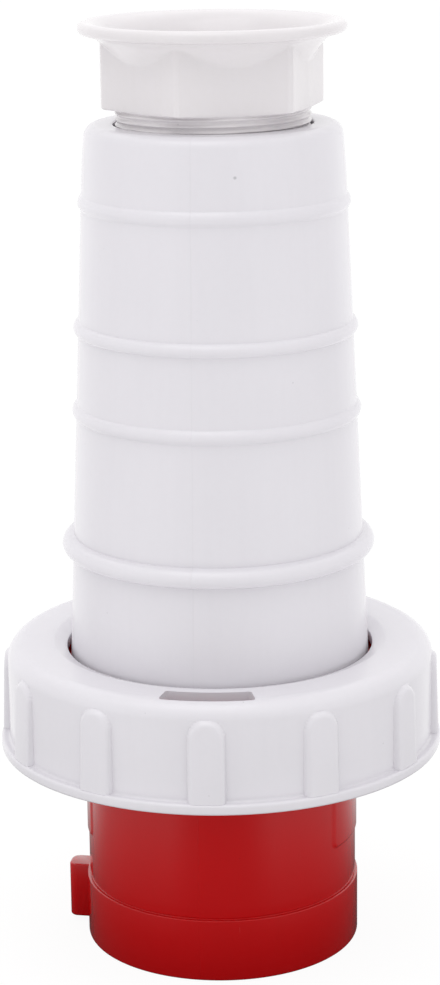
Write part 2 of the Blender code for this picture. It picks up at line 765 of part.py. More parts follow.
def barrier(angle):
    """Upright wall between two terminals."""
    end = screw_circle - BOSS_RADIUS - BARRIER_END_GAP
    half = BARRIER_THICKNESS / 2.0
    outline = [(BARRIER_START, -half), (end, -half), (end, half), (BARRIER_START, half)]
    return placed(prism(outline, carrier_top - OVERRUN, carrier_top + BARRIER_HEIGHT), angle)


def contact_carrier():
    """Disc that holds the terminals, with barriers between them."""
    disc = cylinder(carrier_radius, carrier_bottom, carrier_top, SHELL_STEPS)
    holes = [carrier_hole(PILOT_TERMINAL_RADIUS, 0.0, 0.0)]
    holes += [carrier_hole(TERMINAL_RADIUS, angle, pin_circle) for angle in pin_angles]
    holes += [carrier_screw_hole(angle) for angle in screw_angles]
    walls = [barrier(angle + pitch / 2.0) for angle in pin_angles]
    return carved("contact_carrier", disc, joined=walls, cut=holes)


def contact_pin(name, pin_radius, tip, terminal_radius, screw_drops):
    """Pin with collar and terminal; its screws come from the side along +X."""
    nose = pin_radius * PIN_TIP_ROUND
    wire_radius = terminal_radius - TERMINAL_WALL
    profile = [
        (0.0, tip),
        (pin_radius - nose, tip),
        (pin_radius - nose * PIN_TIP_CORNER, tip + nose * PIN_TIP_CORNER),
        (pin_radius, tip + nose),
        (pin_radius, carrier_bottom),
        (terminal_radius + COLLAR_WIDTH, carrier_bottom),
        (terminal_radius + COLLAR_WIDTH, carrier_bottom + COLLAR_HEIGHT),
        (terminal_radius, carrier_bottom + COLLAR_HEIGHT),
        (terminal_radius, terminal_top),
        (wire_radius, terminal_top),
        (wire_radius, terminal_top - WIRE_HOLE_DEPTH),
        (0.0, terminal_top - WIRE_HOLE_DEPTH),
    ]
    holes = []
    for drop in screw_drops:
        hole = cylinder(TERMINAL_SCREW_RADIUS + SEAT_GAP, 0.0, terminal_radius + OVERRUN, SCREW_STEPS)
        tilt = Matrix.Translation((0.0, 0.0, terminal_top - drop)) @ Matrix.Rotation(math.pi / 2.0, 4, "Y")
        bmesh.ops.transform(hole, matrix=tilt, verts=hole.verts)
        holes.append(hole)
    return carved(name, turned(profile, BORE_STEPS, closed=False), cut=holes)


def slotted_screw(name, shank_radius, length, head_radius, head_height):
    """Screw along +Z: its head rests at height 0 below, its shank rises."""
    profile = [
        (0.0, -head_height),
        (head_radius - HEAD_EDGE, -head_height),
        (head_radius, -head_height + HEAD_EDGE),
        (head_radius, 0.0),
        (shank_radius, 0.0),
        (shank_radius, length),
        (0.0, length),
    ]
    half = SLOT_WIDTH / 2.0
    reach = head_radius + OVERRUN
    outline = [(-reach, -half), (reach, -half), (reach, half), (-reach, half)]
    slot = prism(outline, -head_height - OVERRUN, SLOT_DEPTH - head_height)
    return carved(name, turned(profile, SCREW_STEPS, closed=False), cut=[slot])


def add_contacts(parent, metal, steel):
    """Six contacts at their places, each with its terminal screws."""
    names = ["earth", "neutral", "phase_1", "phase_2", "phase_3"]
    power = contact_pin("power_pin", POWER_PIN_RADIUS, PIN_TIP_DEPTH, TERMINAL_RADIUS, TERMINAL_SCREW_DROPS)
    earth = contact_pin("earth_pin", EARTH_PIN_RADIUS, PIN_TIP_DEPTH, TERMINAL_RADIUS, TERMINAL_SCREW_DROPS)
    pilot_drops = TERMINAL_SCREW_DROPS[:1]
    pilot = contact_pin("pilot_pin", PILOT_PIN_RADIUS, PILOT_TIP_DEPTH, PILOT_TERMINAL_RADIUS, pilot_drops)
    screw = slotted_screw(
        "terminal_screw",
        TERMINAL_SCREW_RADIUS,
        TERMINAL_SCREW_LENGTH,
        TERMINAL_HEAD_RADIUS,
        TERMINAL_HEAD_HEIGHT,
    )
    contacts = [
        (name, earth if name == "earth" else power, angle, pin_circle, TERMINAL_RADIUS, TERMINAL_SCREW_DROPS)
        for name, angle in zip(names, pin_angles)
    ]
    contacts.append(("pilot", pilot, KEY_ANGLE, 0.0, PILOT_TERMINAL_RADIUS, pilot_drops))
    for name, mesh, angle, circle, terminal_radius, drops in contacts:
        along = Vector((math.cos(angle), math.sin(angle), 0.0))
        piece("pin_" + name, mesh, metal, parent, along * circle, (0.0, 0.0, angle))
        for drop, level in zip(drops, ("lower", "upper")):
            seat = along * (circle + terminal_radius + SEAT_GAP)
            seat.z = terminal_top - drop
            turn = (0.0, -math.pi / 2.0, angle)
            piece(f"terminal_screw_{name}_{level}", screw, steel, parent, seat, turn)


def add_handle_screws(parent, steel):
    """Four long screws that hold the handle to the shroud."""
    seat = SOCKET_DEPTH + HANDLE_HEAD_HEIGHT
    screw = slotted_screw(
        "handle_screw",
        HANDLE_SCREW_RADIUS,
        HANDLE_SCREW_LENGTH - HANDLE_HEAD_HEIGHT,
        HANDLE_HEAD_RADIUS,
        HANDLE_HEAD_HEIGHT,
    )
    for number, angle in enumerate(screw_angles, start=1):
        spot = (screw_circle * math.cos(angle), screw_circle * math.sin(angle), seat)
        piece(f"handle_screw_{number}", screw, steel, parent, spot, (0.0, 0.0, angle))


def main():
    """Build the plug, piece by piece."""
    clear_scene()
    white = material("light_grey_plastic", (0.74, 0.72, 0.76), 0.45)
    warm = material("warm_grey_plastic", (0.70, 0.67, 0.66), 0.5)
    red = material("red_plastic", (0.38, 0.01, 0.015), 0.4)
    dark = material("dark_grey_plastic", (0.05, 0.05, 0.055), 0.55)
    rubber = material("black_rubber", (0.02, 0.02, 0.02), 0.8)
    nickel = material("nickel_plated_brass", (0.62, 0.58, 0.50), 0.3, 1.0)
    steel = material("zinc_plated_steel", (0.60, 0.61, 0.62), 0.35, 1.0)

    axis = empty("plug_axis")
    piece("plug_shroud", plug_shroud(), red, axis)
    piece("flange_gasket", flange_gasket(), rubber, axis)
    piece("handle_seal", handle_seal(), rubber, axis)
    piece("front_plate", front_plate(), dark, axis)
    piece("contact_carrier", contact_carrier(), dark, axis)
    add_contacts(axis, nickel, steel)
    add_handle_screws(axis, steel)
    piece("handle_shell", handle_shell(), white, axis)
    piece("cable_seal", cable_seal(), rubber, axis)

    ring_axis = empty("locking_ring_axis")
    piece("locking_ring", locking_ring(), white, ring_axis)
    gland_axis = empty("gland_axis")
    piece("gland_thrust_washer", thrust_washer(), warm, gland_axis)
    piece("gland_nut", gland_nut(), warm, gland_axis)


main()
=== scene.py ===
"""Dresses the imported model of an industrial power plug: fine pieces, finishes, light and camera.

The plug stands on the rim of its shroud. Its axis is Z, the rim lies in the plane Z = 0 and
the key of the shroud points along -X. Angles are turned from +X towards +Y.
"""

import logging
import math
from dataclasses import dataclass
from enum import Enum
from typing import Any, Callable, Sequence

import bpy
from mathutils import Matrix, Vector


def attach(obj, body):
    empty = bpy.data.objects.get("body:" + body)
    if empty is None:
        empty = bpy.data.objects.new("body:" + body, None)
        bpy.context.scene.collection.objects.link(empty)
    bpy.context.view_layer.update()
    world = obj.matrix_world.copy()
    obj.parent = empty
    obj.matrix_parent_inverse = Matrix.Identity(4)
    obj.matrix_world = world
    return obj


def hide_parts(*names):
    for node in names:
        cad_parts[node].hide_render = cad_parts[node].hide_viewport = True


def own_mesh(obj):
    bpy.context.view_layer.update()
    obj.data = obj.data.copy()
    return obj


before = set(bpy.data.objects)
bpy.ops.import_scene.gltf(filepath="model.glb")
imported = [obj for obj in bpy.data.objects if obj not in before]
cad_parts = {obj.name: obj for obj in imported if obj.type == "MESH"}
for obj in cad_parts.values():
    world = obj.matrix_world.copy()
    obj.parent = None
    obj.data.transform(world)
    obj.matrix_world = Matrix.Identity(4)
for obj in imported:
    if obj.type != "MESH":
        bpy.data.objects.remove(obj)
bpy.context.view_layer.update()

LOG = logging.getLogger("power_plug")
MM = 0.001
TURN = 2.0 * math.pi
ORIGIN = (0.0, 0.0, 0.0)
UP = (0.0, 0.0, 1.0)
WHITE = (1.0, 1.0, 1.0, 1.0)
WELD = 0.0005 * MM
SHARP = math.radians(35.0)
ARCH_FACET = math.radians(1.5)
OVERSHOOT = 2.0 * MM  # how far a cutter reaches beyond the piece
ROUNDING_SHARE = 0.48  # most of the run to the next corner that a rounding takes
THREAD_CREST = 0.84  # where a thread's crest begins, from the middle of its root on
THREAD_FLANK = 0.6  # how much of that way its flank takes
DISC_ROUNDING = (0.4 * MM, 0.6 * MM)
SCREW_CIRCLE = 25.844 * MM
SCREW_ANGLES = (216.0, 288.0, 72.0, 144.0)
SPIGOT_TOP = 82.2 * MM
GLAND_PITCH = 1.5 * MM
SPECK = (0.01031, -0.03063, 0.2018)  # dark mark high on the handle's front

Point = tuple[float, float]
Colour = tuple[float, float, float]
Place = tuple[float, float, float]
Part = bpy.types.Object


def smooth_max(first: float, second: float, blend: float) -> float:
    """Greater of two lengths, with a fillet where they are nearly equal.

    Args:
        first: one length.
        second: the other length.
        blend: width of the fillet.

    Returns:
        The blended length, never less than the greater one.
    """
    share = max(blend - abs(first - second), 0.0) / blend
    return max(first, second) + share * share * blend / 4.0


def smooth_step(value: float) -> float:
    """Soft step from 0 to 1 over the values from 0 to 1."""
    share = min(max(value, 0.0), 1.0)
    return share * share * (3.0 - 2.0 * share)


def spaced(first: float, last: float, gap: float) -> list[float]:
    """Even values between two ends, about a gap apart, without the ends themselves."""
    count = max(1, round(abs(last - first) / gap))
    return [first + (last - first) * step / count for step in range(1, count)]


def offset_angle(angle: float, middle: float) -> float:
    """Angle from a middle direction, between minus and plus half a turn."""
    return (angle - middle + math.pi) % TURN - math.pi


@dataclass(frozen=True)
class Corner:
    """Corner of an outline that is turned about Z.

    The run up to a corner has a row of points every `gap`, or none between its ends.
    """

    radius: float
    height: float
    rounding: float = 0.0
    gap: float = 0.0
    facet: float = math.radians(15.0)

    def arc(self, before: "Corner", after: "Corner") -> list[Point]:
        """Points of the corner's rounding between its two neighbours.

        Args:
            before: the corner that comes before.
            after: the corner that comes after.

        Returns:
            The rounding's points, or the corner itself where it is sharp.
        """
        if self.rounding <= 0.0:
            return [(self.radius, self.height)]
        here = Vector((self.radius, self.height))
        back = Vector((before.radius, before.height)) - here
        ahead = Vector((after.radius, after.height)) - here
        half = back.angle(ahead) / 2.0
        longest = min(back.length, ahead.length) * ROUNDING_SHARE
        reach = min(self.rounding / math.tan(half), longest)
        radius = reach * math.tan(half)
        centre = here + (back.normalized() + ahead.normalized()).normalized() * (radius / math.sin(half))
        start = here + back.normalized() * reach - centre
        end = here + ahead.normalized() * reach - centre
        first = math.atan2(start.y, start.x)
        sweep = offset_angle(math.atan2(end.y, end.x), first)
        steps = max(2, math.ceil(abs(sweep) / self.facet))
        turns = [first + sweep * step / steps for step in range(steps + 1)]
        return [(centre.x + radius * math.cos(turn), centre.y + radius * math.sin(turn)) for turn in turns]


def outline(corners: Sequence[Corner]) -> list[Point]:
    """Points of an outline that runs from axis to axis, or closes where it starts beside the axis.

    Args:
        corners: the corners in order.

    Returns:
        The points, the first one repeated at the end of a closed outline.
    """
    closed = corners[0].radius > 0.0
    points: list[Point] = []
    last = len(corners) - 1
    for index, corner in enumerate(corners):
        if closed or 0 < index < last:
            arc = corner.arc(corners[index - 1], corners[(index + 1) % len(corners)])
        else:
            arc = [(corner.radius, corner.height)]
        if points and corner.gap > 0.0:
            points += between(points[-1], arc[0], corner.gap)
        points += arc
    if closed:
        if corners[0].gap > 0.0:
            points += between(points[-1], points[0], corners[0].gap)
        points.append(points[0])
    return points


def between(start: Point, end: Point, gap: float) -> list[Point]:
    """Even points between two points, without the two."""
    length = math.dist(start, end)
    shares = [place / length for place in spaced(0.0, length, gap)] if length > gap else []
    shift = (end[0] - start[0], end[1] - start[1])
    return [(start[0] + shift[0] * share, start[1] + shift[1] * share) for share in shares]


def station(circle: float, degrees: float) -> Matrix:
    """Place on a circle about the axis, turned outward."""
    return Matrix.Rotation(math.radians(degrees), 4, "Z") @ Matrix.Translation((circle, 0.0, 0.0))


class Bench:
    """Modelling bench: Blender's own tools, each used on one piece at a time."""

    @staticmethod
    def pick(part: Part | None = None) -> None:
        """Deselect everything, then select one piece and make it active."""
        if bpy.context.object is not None and bpy.context.object.mode != "OBJECT":
            bpy.ops.object.mode_set(mode="OBJECT")
        bpy.ops.object.select_all(action="DESELECT")
        if part is not None:
            part.select_set(True)
            bpy.context.view_layer.objects.active = part

    @staticmethod
    def named(name: str) -> Part:
        """Active object under a new name."""
        part = bpy.context.object
        part.name = name
        part.data.name = name
        return part

    @classmethod
    def lathe(cls, name: str, corners: Sequence[Corner], steps: int) -> Part:
        """Turn an outline about Z, as a lathe does.

        Args:
            name: the piece's name.
            corners: the corners of its outline.
            steps: how many facets go round.

        Returns:
            The closed piece, with its faces outward.
        """
        points = outline(corners)
        cls.pick()
        bpy.ops.mesh.primitive_plane_add(size=MM, location=ORIGIN)
        part = cls.named(name)
        bpy.ops.object.mode_set(mode="EDIT")
        bpy.ops.mesh.select_mode(type="VERT")
        bpy.ops.mesh.select_all(action="SELECT")
        bpy.ops.mesh.merge(type="CENTER")
        bpy.ops.transform.translate(value=(points[0][0], 0.0, points[0][1]))
        for start, end in zip(points, points[1:]):
            shift = (end[0] - start[0], 0.0, end[1] - start[1])
            bpy.ops.mesh.extrude_vertices_move(TRANSFORM_OT_translate={"value": shift})
        bpy.ops.mesh.select_all(action="SELECT")
        bpy.ops.mesh.spin(steps=steps, angle=TURN, center=ORIGIN, axis=UP)
        cls.close_up()
        return part

    @classmethod
    def rod(
        cls, name: str, radius: float, ends: Sequence[float], steps: int, rounding: Point = (0.0, 0.0)
    ) -> Part:
        """Round bar or disc along Z.

        Args:
            name: the piece's name.
            radius: its radius.
            ends: its lower and its upper end.
            steps: how many facets go round.
            rounding: radius of the lower and of the upper edge.

        Returns:
            The bar.
        """
        low, high = ends
        corners = [Corner(0.0, low), Corner(radius, low, rounding[0])]
        corners += [Corner(radius, high, rounding[1]), Corner(0.0, high)]
        return cls.lathe(name, corners, steps)

    @staticmethod
    def close_up() -> None:
        """Merge doubled points, turn the faces outward and leave edit mode."""
        bpy.ops.mesh.select_all(action="SELECT")
        bpy.ops.mesh.remove_doubles(threshold=WELD)
        bpy.ops.mesh.normals_make_consistent(inside=False)
        bpy.ops.object.mode_set(mode="OBJECT")

    @classmethod
    def block(cls, name: str, low: Sequence[float], high: Sequence[float]) -> Part:
        """Straight block between two corners, ready to be bevelled."""
        cls.pick()
        bpy.ops.mesh.primitive_cube_add(size=1.0, location=ORIGIN)
        part = cls.named(name)
        bpy.ops.object.mode_set(mode="EDIT")
        bpy.ops.mesh.select_all(action="SELECT")
        bpy.ops.transform.resize(value=[end - start for start, end in zip(low, high)])
        bpy.ops.transform.translate(value=[(end + start) / 2.0 for start, end in zip(low, high)])
        bpy.ops.object.mode_set(mode="OBJECT")
        return part

    @classmethod
    def arch(cls, name: str, radii: Point, heights: Point, middle: float, span: float) -> Part:
        """Curved block between two radii and two heights, spun through part of a turn.

        Args:
            name: the piece's name.
            radii: inner and outer radius.
            heights: lower and upper height.
            middle: direction of its middle.
            span: angle that it covers.

        Returns:
            The closed block.
        """
        cls.pick()
        bpy.ops.mesh.primitive_plane_add(size=1.0, location=ORIGIN)
        part = cls.named(name)
        size = (radii[1] - radii[0], heights[1] - heights[0], 1.0)
        centre = Vector(((radii[0] + radii[1]) / 2.0, 0.0, (heights[0] + heights[1]) / 2.0))
        upright = Matrix.Rotation(math.pi / 2.0, 4, "X") @ Matrix.Diagonal((*size, 1.0))
        start = Matrix.Rotation(middle + span / 2.0, 4, "Z")  # the spin below goes clockwise
        cls.place(part, start @ Matrix.Translation(centre) @ upright)
        bpy.ops.object.mode_set(mode="EDIT")
        bpy.ops.mesh.select_all(action="SELECT")
        bpy.ops.mesh.spin(steps=math.ceil(span / ARCH_FACET), angle=span, center=ORIGIN, axis=UP)
        cls.close_up()
        return part

    @classmethod
    def place(cls, part: Part, matrix: Matrix) -> Part:
        """Move a piece and put its place into its mesh."""
        cls.pick(part)
        part.matrix_world = matrix
        bpy.ops.object.transform_apply(location=True, rotation=True, scale=True)
        return part

    @classmethod
    def spot(cls, part: Part, circle: float, degrees: float) -> Part:
        """Move a piece from the axis to its place on a circle."""
        return cls.place(part, station(circle, degrees))

    @classmethod
    def copy(cls, part: Part, name: str, matrix: Matrix) -> Part:
        """Copy of a piece with its own mesh, at another place."""
        cls.pick(part)
        bpy.ops.object.duplicate(linked=False)
        return cls.place(cls.named(name), matrix)

    @classmethod
    def join(cls, parts: Sequence[Part]) -> Part:
        """Several pieces as one object."""
        cls.pick(parts[0])
        for part in parts:
            part.select_set(True)
        if len(parts) > 1:
            bpy.ops.object.join()
        return parts[0]

    @classmethod
    def modify(cls, part: Part, kind: str, **settings: Any) -> Part:
        """Add a modifier to a piece and apply it."""
        cls.pick(part)
        modifier = part.modifiers.new(kind.lower(), kind)
        for name, value in settings.items():
            setattr(modifier, name, value)
        bpy.ops.object.modifier_apply(modifier=modifier.name)
        return part

    @classmethod
    def combine(cls, part: Part, tools: Sequence[Part], operation: str) -> Part:
        """Unite a piece with tools or cut them from it, and remove the tools.

        Args:
            part: the piece.
            tools: the bodies that are united with it or cut from it.
            operation: UNION or DIFFERENCE.

        Returns:
            The piece.
        """
        tool = cls.join(tools)
        cls.modify(part, "BOOLEAN", operation=operation, solver="EXACT", object=tool)
        bpy.data.objects.remove(tool)
        return part

    @classmethod
    def bevel(
        cls, part: Part, chosen: Callable[[Vector, Vector], bool], width: float, steps: int = 3
    ) -> Part:
        """Round the edges of a piece that a test on their two ends chooses."""
        cls.pick(part)
        bpy.ops.object.mode_set(mode="EDIT")
        bpy.ops.mesh.select_mode(type="EDGE")
        bpy.ops.mesh.select_all(action="DESELECT")
        bpy.ops.object.mode_set(mode="OBJECT")
        points = part.data.vertices
        for edge in part.data.edges:
            edge.select = chosen(points[edge.vertices[0]].co, points[edge.vertices[1]].co)
        bpy.ops.object.mode_set(mode="EDIT")
        bpy.ops.mesh.bevel(offset=width, segments=steps, affect="EDGES", clamp_overlap=True)
        bpy.ops.object.mode_set(mode="OBJECT")
        return part

    @staticmethod
    def press(
        part: Part,
        reach: Callable[[float, float, float], float],
        crowd: Callable[[float], float] | None = None,
    ) -> Part:
        """Press the skin of a turned piece in or out, as a forming tool does.

        Args:
            part: the piece.
            reach: gives a point's new radius from its radius, angle and height.
            crowd: gives a column's new angle, to bring columns together where the skin turns sharply.

        Returns:
            The piece.
        """
        for point in part.data.vertices:
            radius = math.hypot(point.co.x, point.co.y)
            if radius > WELD:
                angle = math.atan2(point.co.y, point.co.x)
                angle = crowd(angle) if crowd else angle
                radius = reach(radius, angle, point.co.z)
                point.co.x = radius * math.cos(angle)
                point.co.y = radius * math.sin(angle)
        part.data.update()
        return part

    @classmethod
    def smooth(cls, part: Part, angle: float = SHARP) -> Part:
        """Shade a piece smooth, with hard edges where its faces turn by more than an angle."""
        cls.pick(part)
        bpy.ops.object.shade_smooth_by_angle(angle=angle)
        return part


def math_operator(operation: str, swapped: bool = False) -> Callable[["Signal", Any], "Signal"]:
    """Operator that adds one Math node.

    Args:
        operation: the node's operation.
        swapped: whether the other value comes first.

    Returns:
        The operator, for a signal and another value.
    """

    def operator(signal: "Signal", other: Any) -> "Signal":
        """Result of the node."""
        first, second = (other, signal) if swapped else (signal, other)
        return signal.board.add("ShaderNodeMath", {"operation": operation}, {0: first, 1: second})

    return operator


class Signal:
    """Value on its way through a material; sums and products with it add Math nodes."""

    __add__, __radd__ = math_operator("ADD"), math_operator("ADD", swapped=True)
    __sub__, __rsub__ = math_operator("SUBTRACT"), math_operator("SUBTRACT", swapped=True)
    __mul__, __truediv__ = math_operator("MULTIPLY"), math_operator("DIVIDE")

    def __init__(self, board: "Board", socket: bpy.types.NodeSocket) -> None:
        """Keep the board that the value is on and the socket that gives it."""
        self.board = board
        self.socket = socket

    def __abs__(self) -> "Signal":
        """Size without its sign."""
        return self.board.add("ShaderNodeMath", {"operation": "ABSOLUTE"}, {0: self})

    def above(self, low: float, high: float) -> "Signal":
        """Soft step from 0 at a low value to 1 at a high one."""
        settings = {"interpolation_type": "SMOOTHSTEP", "clamp": True}
        inputs = {"Value": self, "From Min": low, "From Max": high}
        return self.board.add("ShaderNodeMapRange", settings, inputs)

    def within(self, half: float) -> "Signal":
        """Soft line around zero: 1 at zero and 0 from half its width on."""
        return 1.0 - abs(self).above(0.0, half)


class Board:
    """Node tree of one material or world, on which its nodes are laid out."""

    def __init__(self, owner: bpy.types.Material | bpy.types.World) -> None:
        """Give a material or a world an empty tree and keep both."""
        owner.use_nodes = True
        self.owner = owner
        self.tree = owner.node_tree
        self.tree.nodes.clear()

    def add(self, kind: str, settings: dict[str, Any], inputs: dict[Any, Any], output: Any = 0) -> Signal:
        """Add one node.

        Args:
            kind: the node's type.
            settings: its properties.
            inputs: numbers, colours, sockets or signals for its sockets, by name or place.
            output: name or place of the output that is given back.

        Returns:
            The signal of that output.
        """
        node = self.tree.nodes.new(kind)
        for name, value in settings.items():
            setattr(node, name, value)
        for name, value in inputs.items():
            if isinstance(value, Signal):
                self.tree.links.new(value.socket, node.inputs[name])
            else:
                node.inputs[name].default_value = value
        return Signal(self, node.outputs[output])

    def place(self) -> Signal:
        """Place on the piece, in metres."""
        return self.add("ShaderNodeTexCoord", {}, {}, "Object")

    def axes(self) -> tuple[Signal, Signal, Signal]:
        """The three coordinates of the place on the piece."""
        split = self.add("ShaderNodeSeparateXYZ", {}, {0: self.place()})
        return tuple(Signal(self, output) for output in split.socket.node.outputs)

    def stretched(self, scale: Sequence[float]) -> Signal:
        """Place on the piece, stretched along its axes."""
        return self.add("ShaderNodeMapping", {}, {"Vector": self.place(), "Scale": scale})

    def measure(self, operation: str, vector: Signal, other: Sequence[float] = ORIGIN) -> Signal:
        """Number from two vectors: their DOT_PRODUCT or DISTANCE, or the LENGTH of the first."""
        return self.add("ShaderNodeVectorMath", {"operation": operation}, {0: vector, 1: other}, 1)

    def noise(
        self, size: float, detail: float = 2.0, vector: Signal | None = None, roughness: float = 0.5
    ) -> Signal:
        """Cloudy pattern from 0 to 1 whose clouds have about a given size."""
        inputs = {
            "Vector": vector or self.place(),
            "Scale": 1.0 / size,
            "Detail": detail,
            "Roughness": roughness,
        }
        return self.add("ShaderNodeTexNoise", {}, inputs)

    def spots(self, size: float) -> Signal:
        """Distance to the nearest of many scattered points, in cells of a given size."""
        inputs = {"Vector": self.place(), "Scale": 1.0 / size}
        return self.add("ShaderNodeTexVoronoi", {"feature": "F1"}, inputs)

    def tint(self, share: Any, first: Any, second: Any) -> Signal:
        """Colour between two others; plain colours have three parts."""
        ends = [(*end, 1.0) if isinstance(end, tuple) else end for end in (first, second)]
        return self.add("ShaderNodeMix", {"data_type": "RGBA"}, {0: share, 6: ends[0], 7: ends[1]}, 2)

    def relief(self, height: Signal, depth: float) -> Signal:
        """Normal of a surface with a relief of a given depth."""
        return self.add("ShaderNodeBump", {}, {"Height": height, "Distance": depth, "Strength": 1.0})

    def finish(self, inputs: dict[str, Any]) -> bpy.types.Material:
        """End a material in its shader and its output, and give it back."""
        self.show(self.add("ShaderNodeBsdfPrincipled", {}, inputs))
        return self.owner

    def show(self, shader: Signal) -> None:
        """Lead a shader to the surface of the material or world."""
        is_world = isinstance(self.owner, bpy.types.World)
        output = self.tree.nodes.new("ShaderNodeOutputWorld" if is_world else "ShaderNodeOutputMaterial")
        self.tree.links.new(shader.socket, output.inputs["Surface"])


class Grain(Enum):
    """Surface that the mould or the tool left on a material."""

    POLISHED = "polished mould"
    ERODED = "spark-eroded mould"
    TURNED = "lathe"
    DRAWN = "drawn and plated wire"


@dataclass(frozen=True)
class Plastic:
    """Moulded plastic with clouding, streaks, pinholes and, where asked, a mould line and scuffs.

    Attributes:
        name: the material's name.
        colour: main colour, and `shade` the other one that clouds and streaks bring in.
        roughness: mean roughness, and `gloss` the specular level.
        grain: surface of the mould; `moulded` and `eroded` are the depths of the two reliefs.
        mould_line: whether a fine line runs up where the mould's halves met.
        scuffs: strength of the rubbed lines, in the colour `rubbed`; `rim` is where they fade.
        coat: weight of the clear coat.
        speck: place of one dark mark, whose soft edge is `speck_edge`.
        cloud: size of the clouds; `mottling`, `pinhole_gap` and `line_half` are sizes too.
        streak: how often the streaks change along each axis, a metre; `brush` for the scuffs.
    """

    name: str
    colour: Colour
    shade: Colour
    roughness: float
    gloss: float
    grain: Grain = Grain.POLISHED
    mould_line: bool = False
    scuffs: float = 0.0
    coat: float = 0.0
    speck: Place | None = None
    cloud: float = 26.0 * MM
    mottling: float = 1.6 * MM
    streak: Place = (420.0, 420.0, 26.0)
    pinhole_gap: float = 9.0 * MM
    line_half: float = 0.12 * MM
    speck_edge: Point = (0.15 * MM, 0.5 * MM)
    moulded: float = 0.035 * MM
    eroded: float = 0.05 * MM
    rubbed: Colour = (0.62, 0.6, 0.6)
    brush: Place = (900.0, 900.0, 60.0)
    rim: Point = (4.0 * MM, 26.0 * MM)

    def darker(self, share: float) -> Colour:
        """A share of the plastic's colour."""
        return tuple(part * share for part in self.colour)

    def material(self) -> bpy.types.Material:
        """Material of the plastic.

        Returns:
            A new material whose nodes give its colour, roughness and relief.
        """
        board = Board(bpy.data.materials.new(self.name))
        x, _, z = board.axes()
        clouds = board.noise(self.cloud, 3.0)
        mottle = board.noise(self.mottling, 3.0, roughness=0.65)
        streaks = board.noise(1.0, 3.0, board.stretched(self.streak))
        share = clouds.above(0.25, 0.8) * 0.55 + mottle.above(0.35, 0.75) * 0.25
        share = share + streaks.above(0.4, 0.7) * 0.2
        colour = board.tint(share, self.colour, self.shade)
        pinholes = 1.0 - board.spots(self.pinhole_gap).above(0.012, 0.03)
        colour = board.tint(pinholes * 0.25, colour, self.darker(0.35))
        height = mottle * 0.2 - pinholes * 0.12
        depth = self.moulded
        if self.grain is Grain.ERODED:
            height = height + board.noise(0.35 * MM, 2.0) * 0.8
            depth = self.eroded
        if self.mould_line:
            line = x.within(self.line_half)
            colour = board.tint(line * 0.1, colour, self.darker(0.72))
            height = height + line * 0.8
        if self.speck is not None:
            near = board.measure("DISTANCE", board.place(), self.speck)
            spot = 1.0 - (near + (mottle - 0.5) * 0.5 * MM).above(*self.speck_edge)
            colour = board.tint(spot * 0.6, colour, self.darker(0.5))
        roughness = self.roughness + (streaks - 0.5) * 0.05 + (mottle - 0.5) * 0.06
        if self.scuffs > 0.0:
            marks = self._scuffs(board, z)
            roughness = roughness + marks * 0.2
            colour = board.tint(marks * self.scuffs, colour, self.rubbed)
        inputs = {
            "Base Color": colour,
            "Roughness": roughness,
            "Normal": board.relief(height, depth),
            "Specular IOR Level": self.gloss,
            "Coat Weight": self.coat,
        }
        return board.finish(inputs)

    def _scuffs(self, board: Board, height: Signal) -> Signal:
        """Fine rubbed lines, most of them near the rim that goes into the socket."""
        lines = board.noise(1.0, 2.0, board.stretched(self.brush)).above(0.66, 0.72)
        patches = board.noise(14.0 * MM, 2.0).above(0.5, 0.7)
        low = 1.0 - height.above(*self.rim)
        return lines * patches * (0.25 + low * 0.75)


@dataclass(frozen=True)
class Rubber:
    """Moulded rubber with a fine grain and a trace of talc."""

    name: str
    colour: Colour
    dust: Colour

    def material(self) -> bpy.types.Material:
        """Material of the rubber."""
        board = Board(bpy.data.materials.new(self.name))
        grain = board.noise(0.4 * MM, 3.0)
        talc = board.noise(5.0 * MM, 4.0, roughness=0.7).above(0.5, 0.85)
        inputs = {
            "Base Color": board.tint(talc * 0.6, self.colour, self.dust),
            "Roughness": 0.68 + talc * 0.2 + (grain - 0.5) * 0.1,
            "Normal": board.relief(grain, 0.06 * MM),
            "Specular IOR Level": 0.35,
        }
        return board.finish(inputs)


@dataclass(frozen=True)
class Metal:
    """Bare or plated metal with the marks of its tool and a little tarnish."""

    name: str
    colour: Colour
    tarnish: Colour
    roughness: float
    grain: Grain

    def material(self) -> bpy.types.Material:
        """Material of the metal."""
        board = Board(bpy.data.materials.new(self.name))
        film = board.noise(7.0 * MM, 4.0, roughness=0.6).above(0.42, 0.8)
        spots = board.noise(0.8 * MM, 2.0).above(0.62, 0.75)
        if self.grain is Grain.TURNED:
            marks = board.noise(1.0, 3.0, board.stretched((60.0, 60.0, 5200.0)))
        else:
            marks = board.noise(0.5 * MM, 3.0)
        inputs = {
            "Base Color": board.tint(film * 0.55 + spots * 0.2, self.colour, self.tarnish),
            "Roughness": self.roughness + (marks - 0.5) * 0.18 + film * 0.1,
            "Normal": board.relief(marks, 0.02 * MM),
            "Metallic": 1.0,
        }
        return board.finish(inputs)


class Body(Enum):
    """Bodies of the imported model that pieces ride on."""

    PLUG = "plug"
    RING = "locking_ring"
    WASHER = "thrust_washer"
    NUT = "gland_nut"


class Finish(Enum):
    """Finishes of the pieces, each with its material slot in the record."""

    HANDLE = ("handle", "shell_plastic")
    RING = ("ring", "shell_plastic")
    GLAND = ("gland", "gland_plastic")
    RED = ("red", "red_shroud")
    CARRIER = ("carrier", "carrier_plastic")
    RUBBER = ("rubber", "black_rubber")
    PIN = ("pin", "pin_metal")
    SCREW = ("screw", "screw_steel")


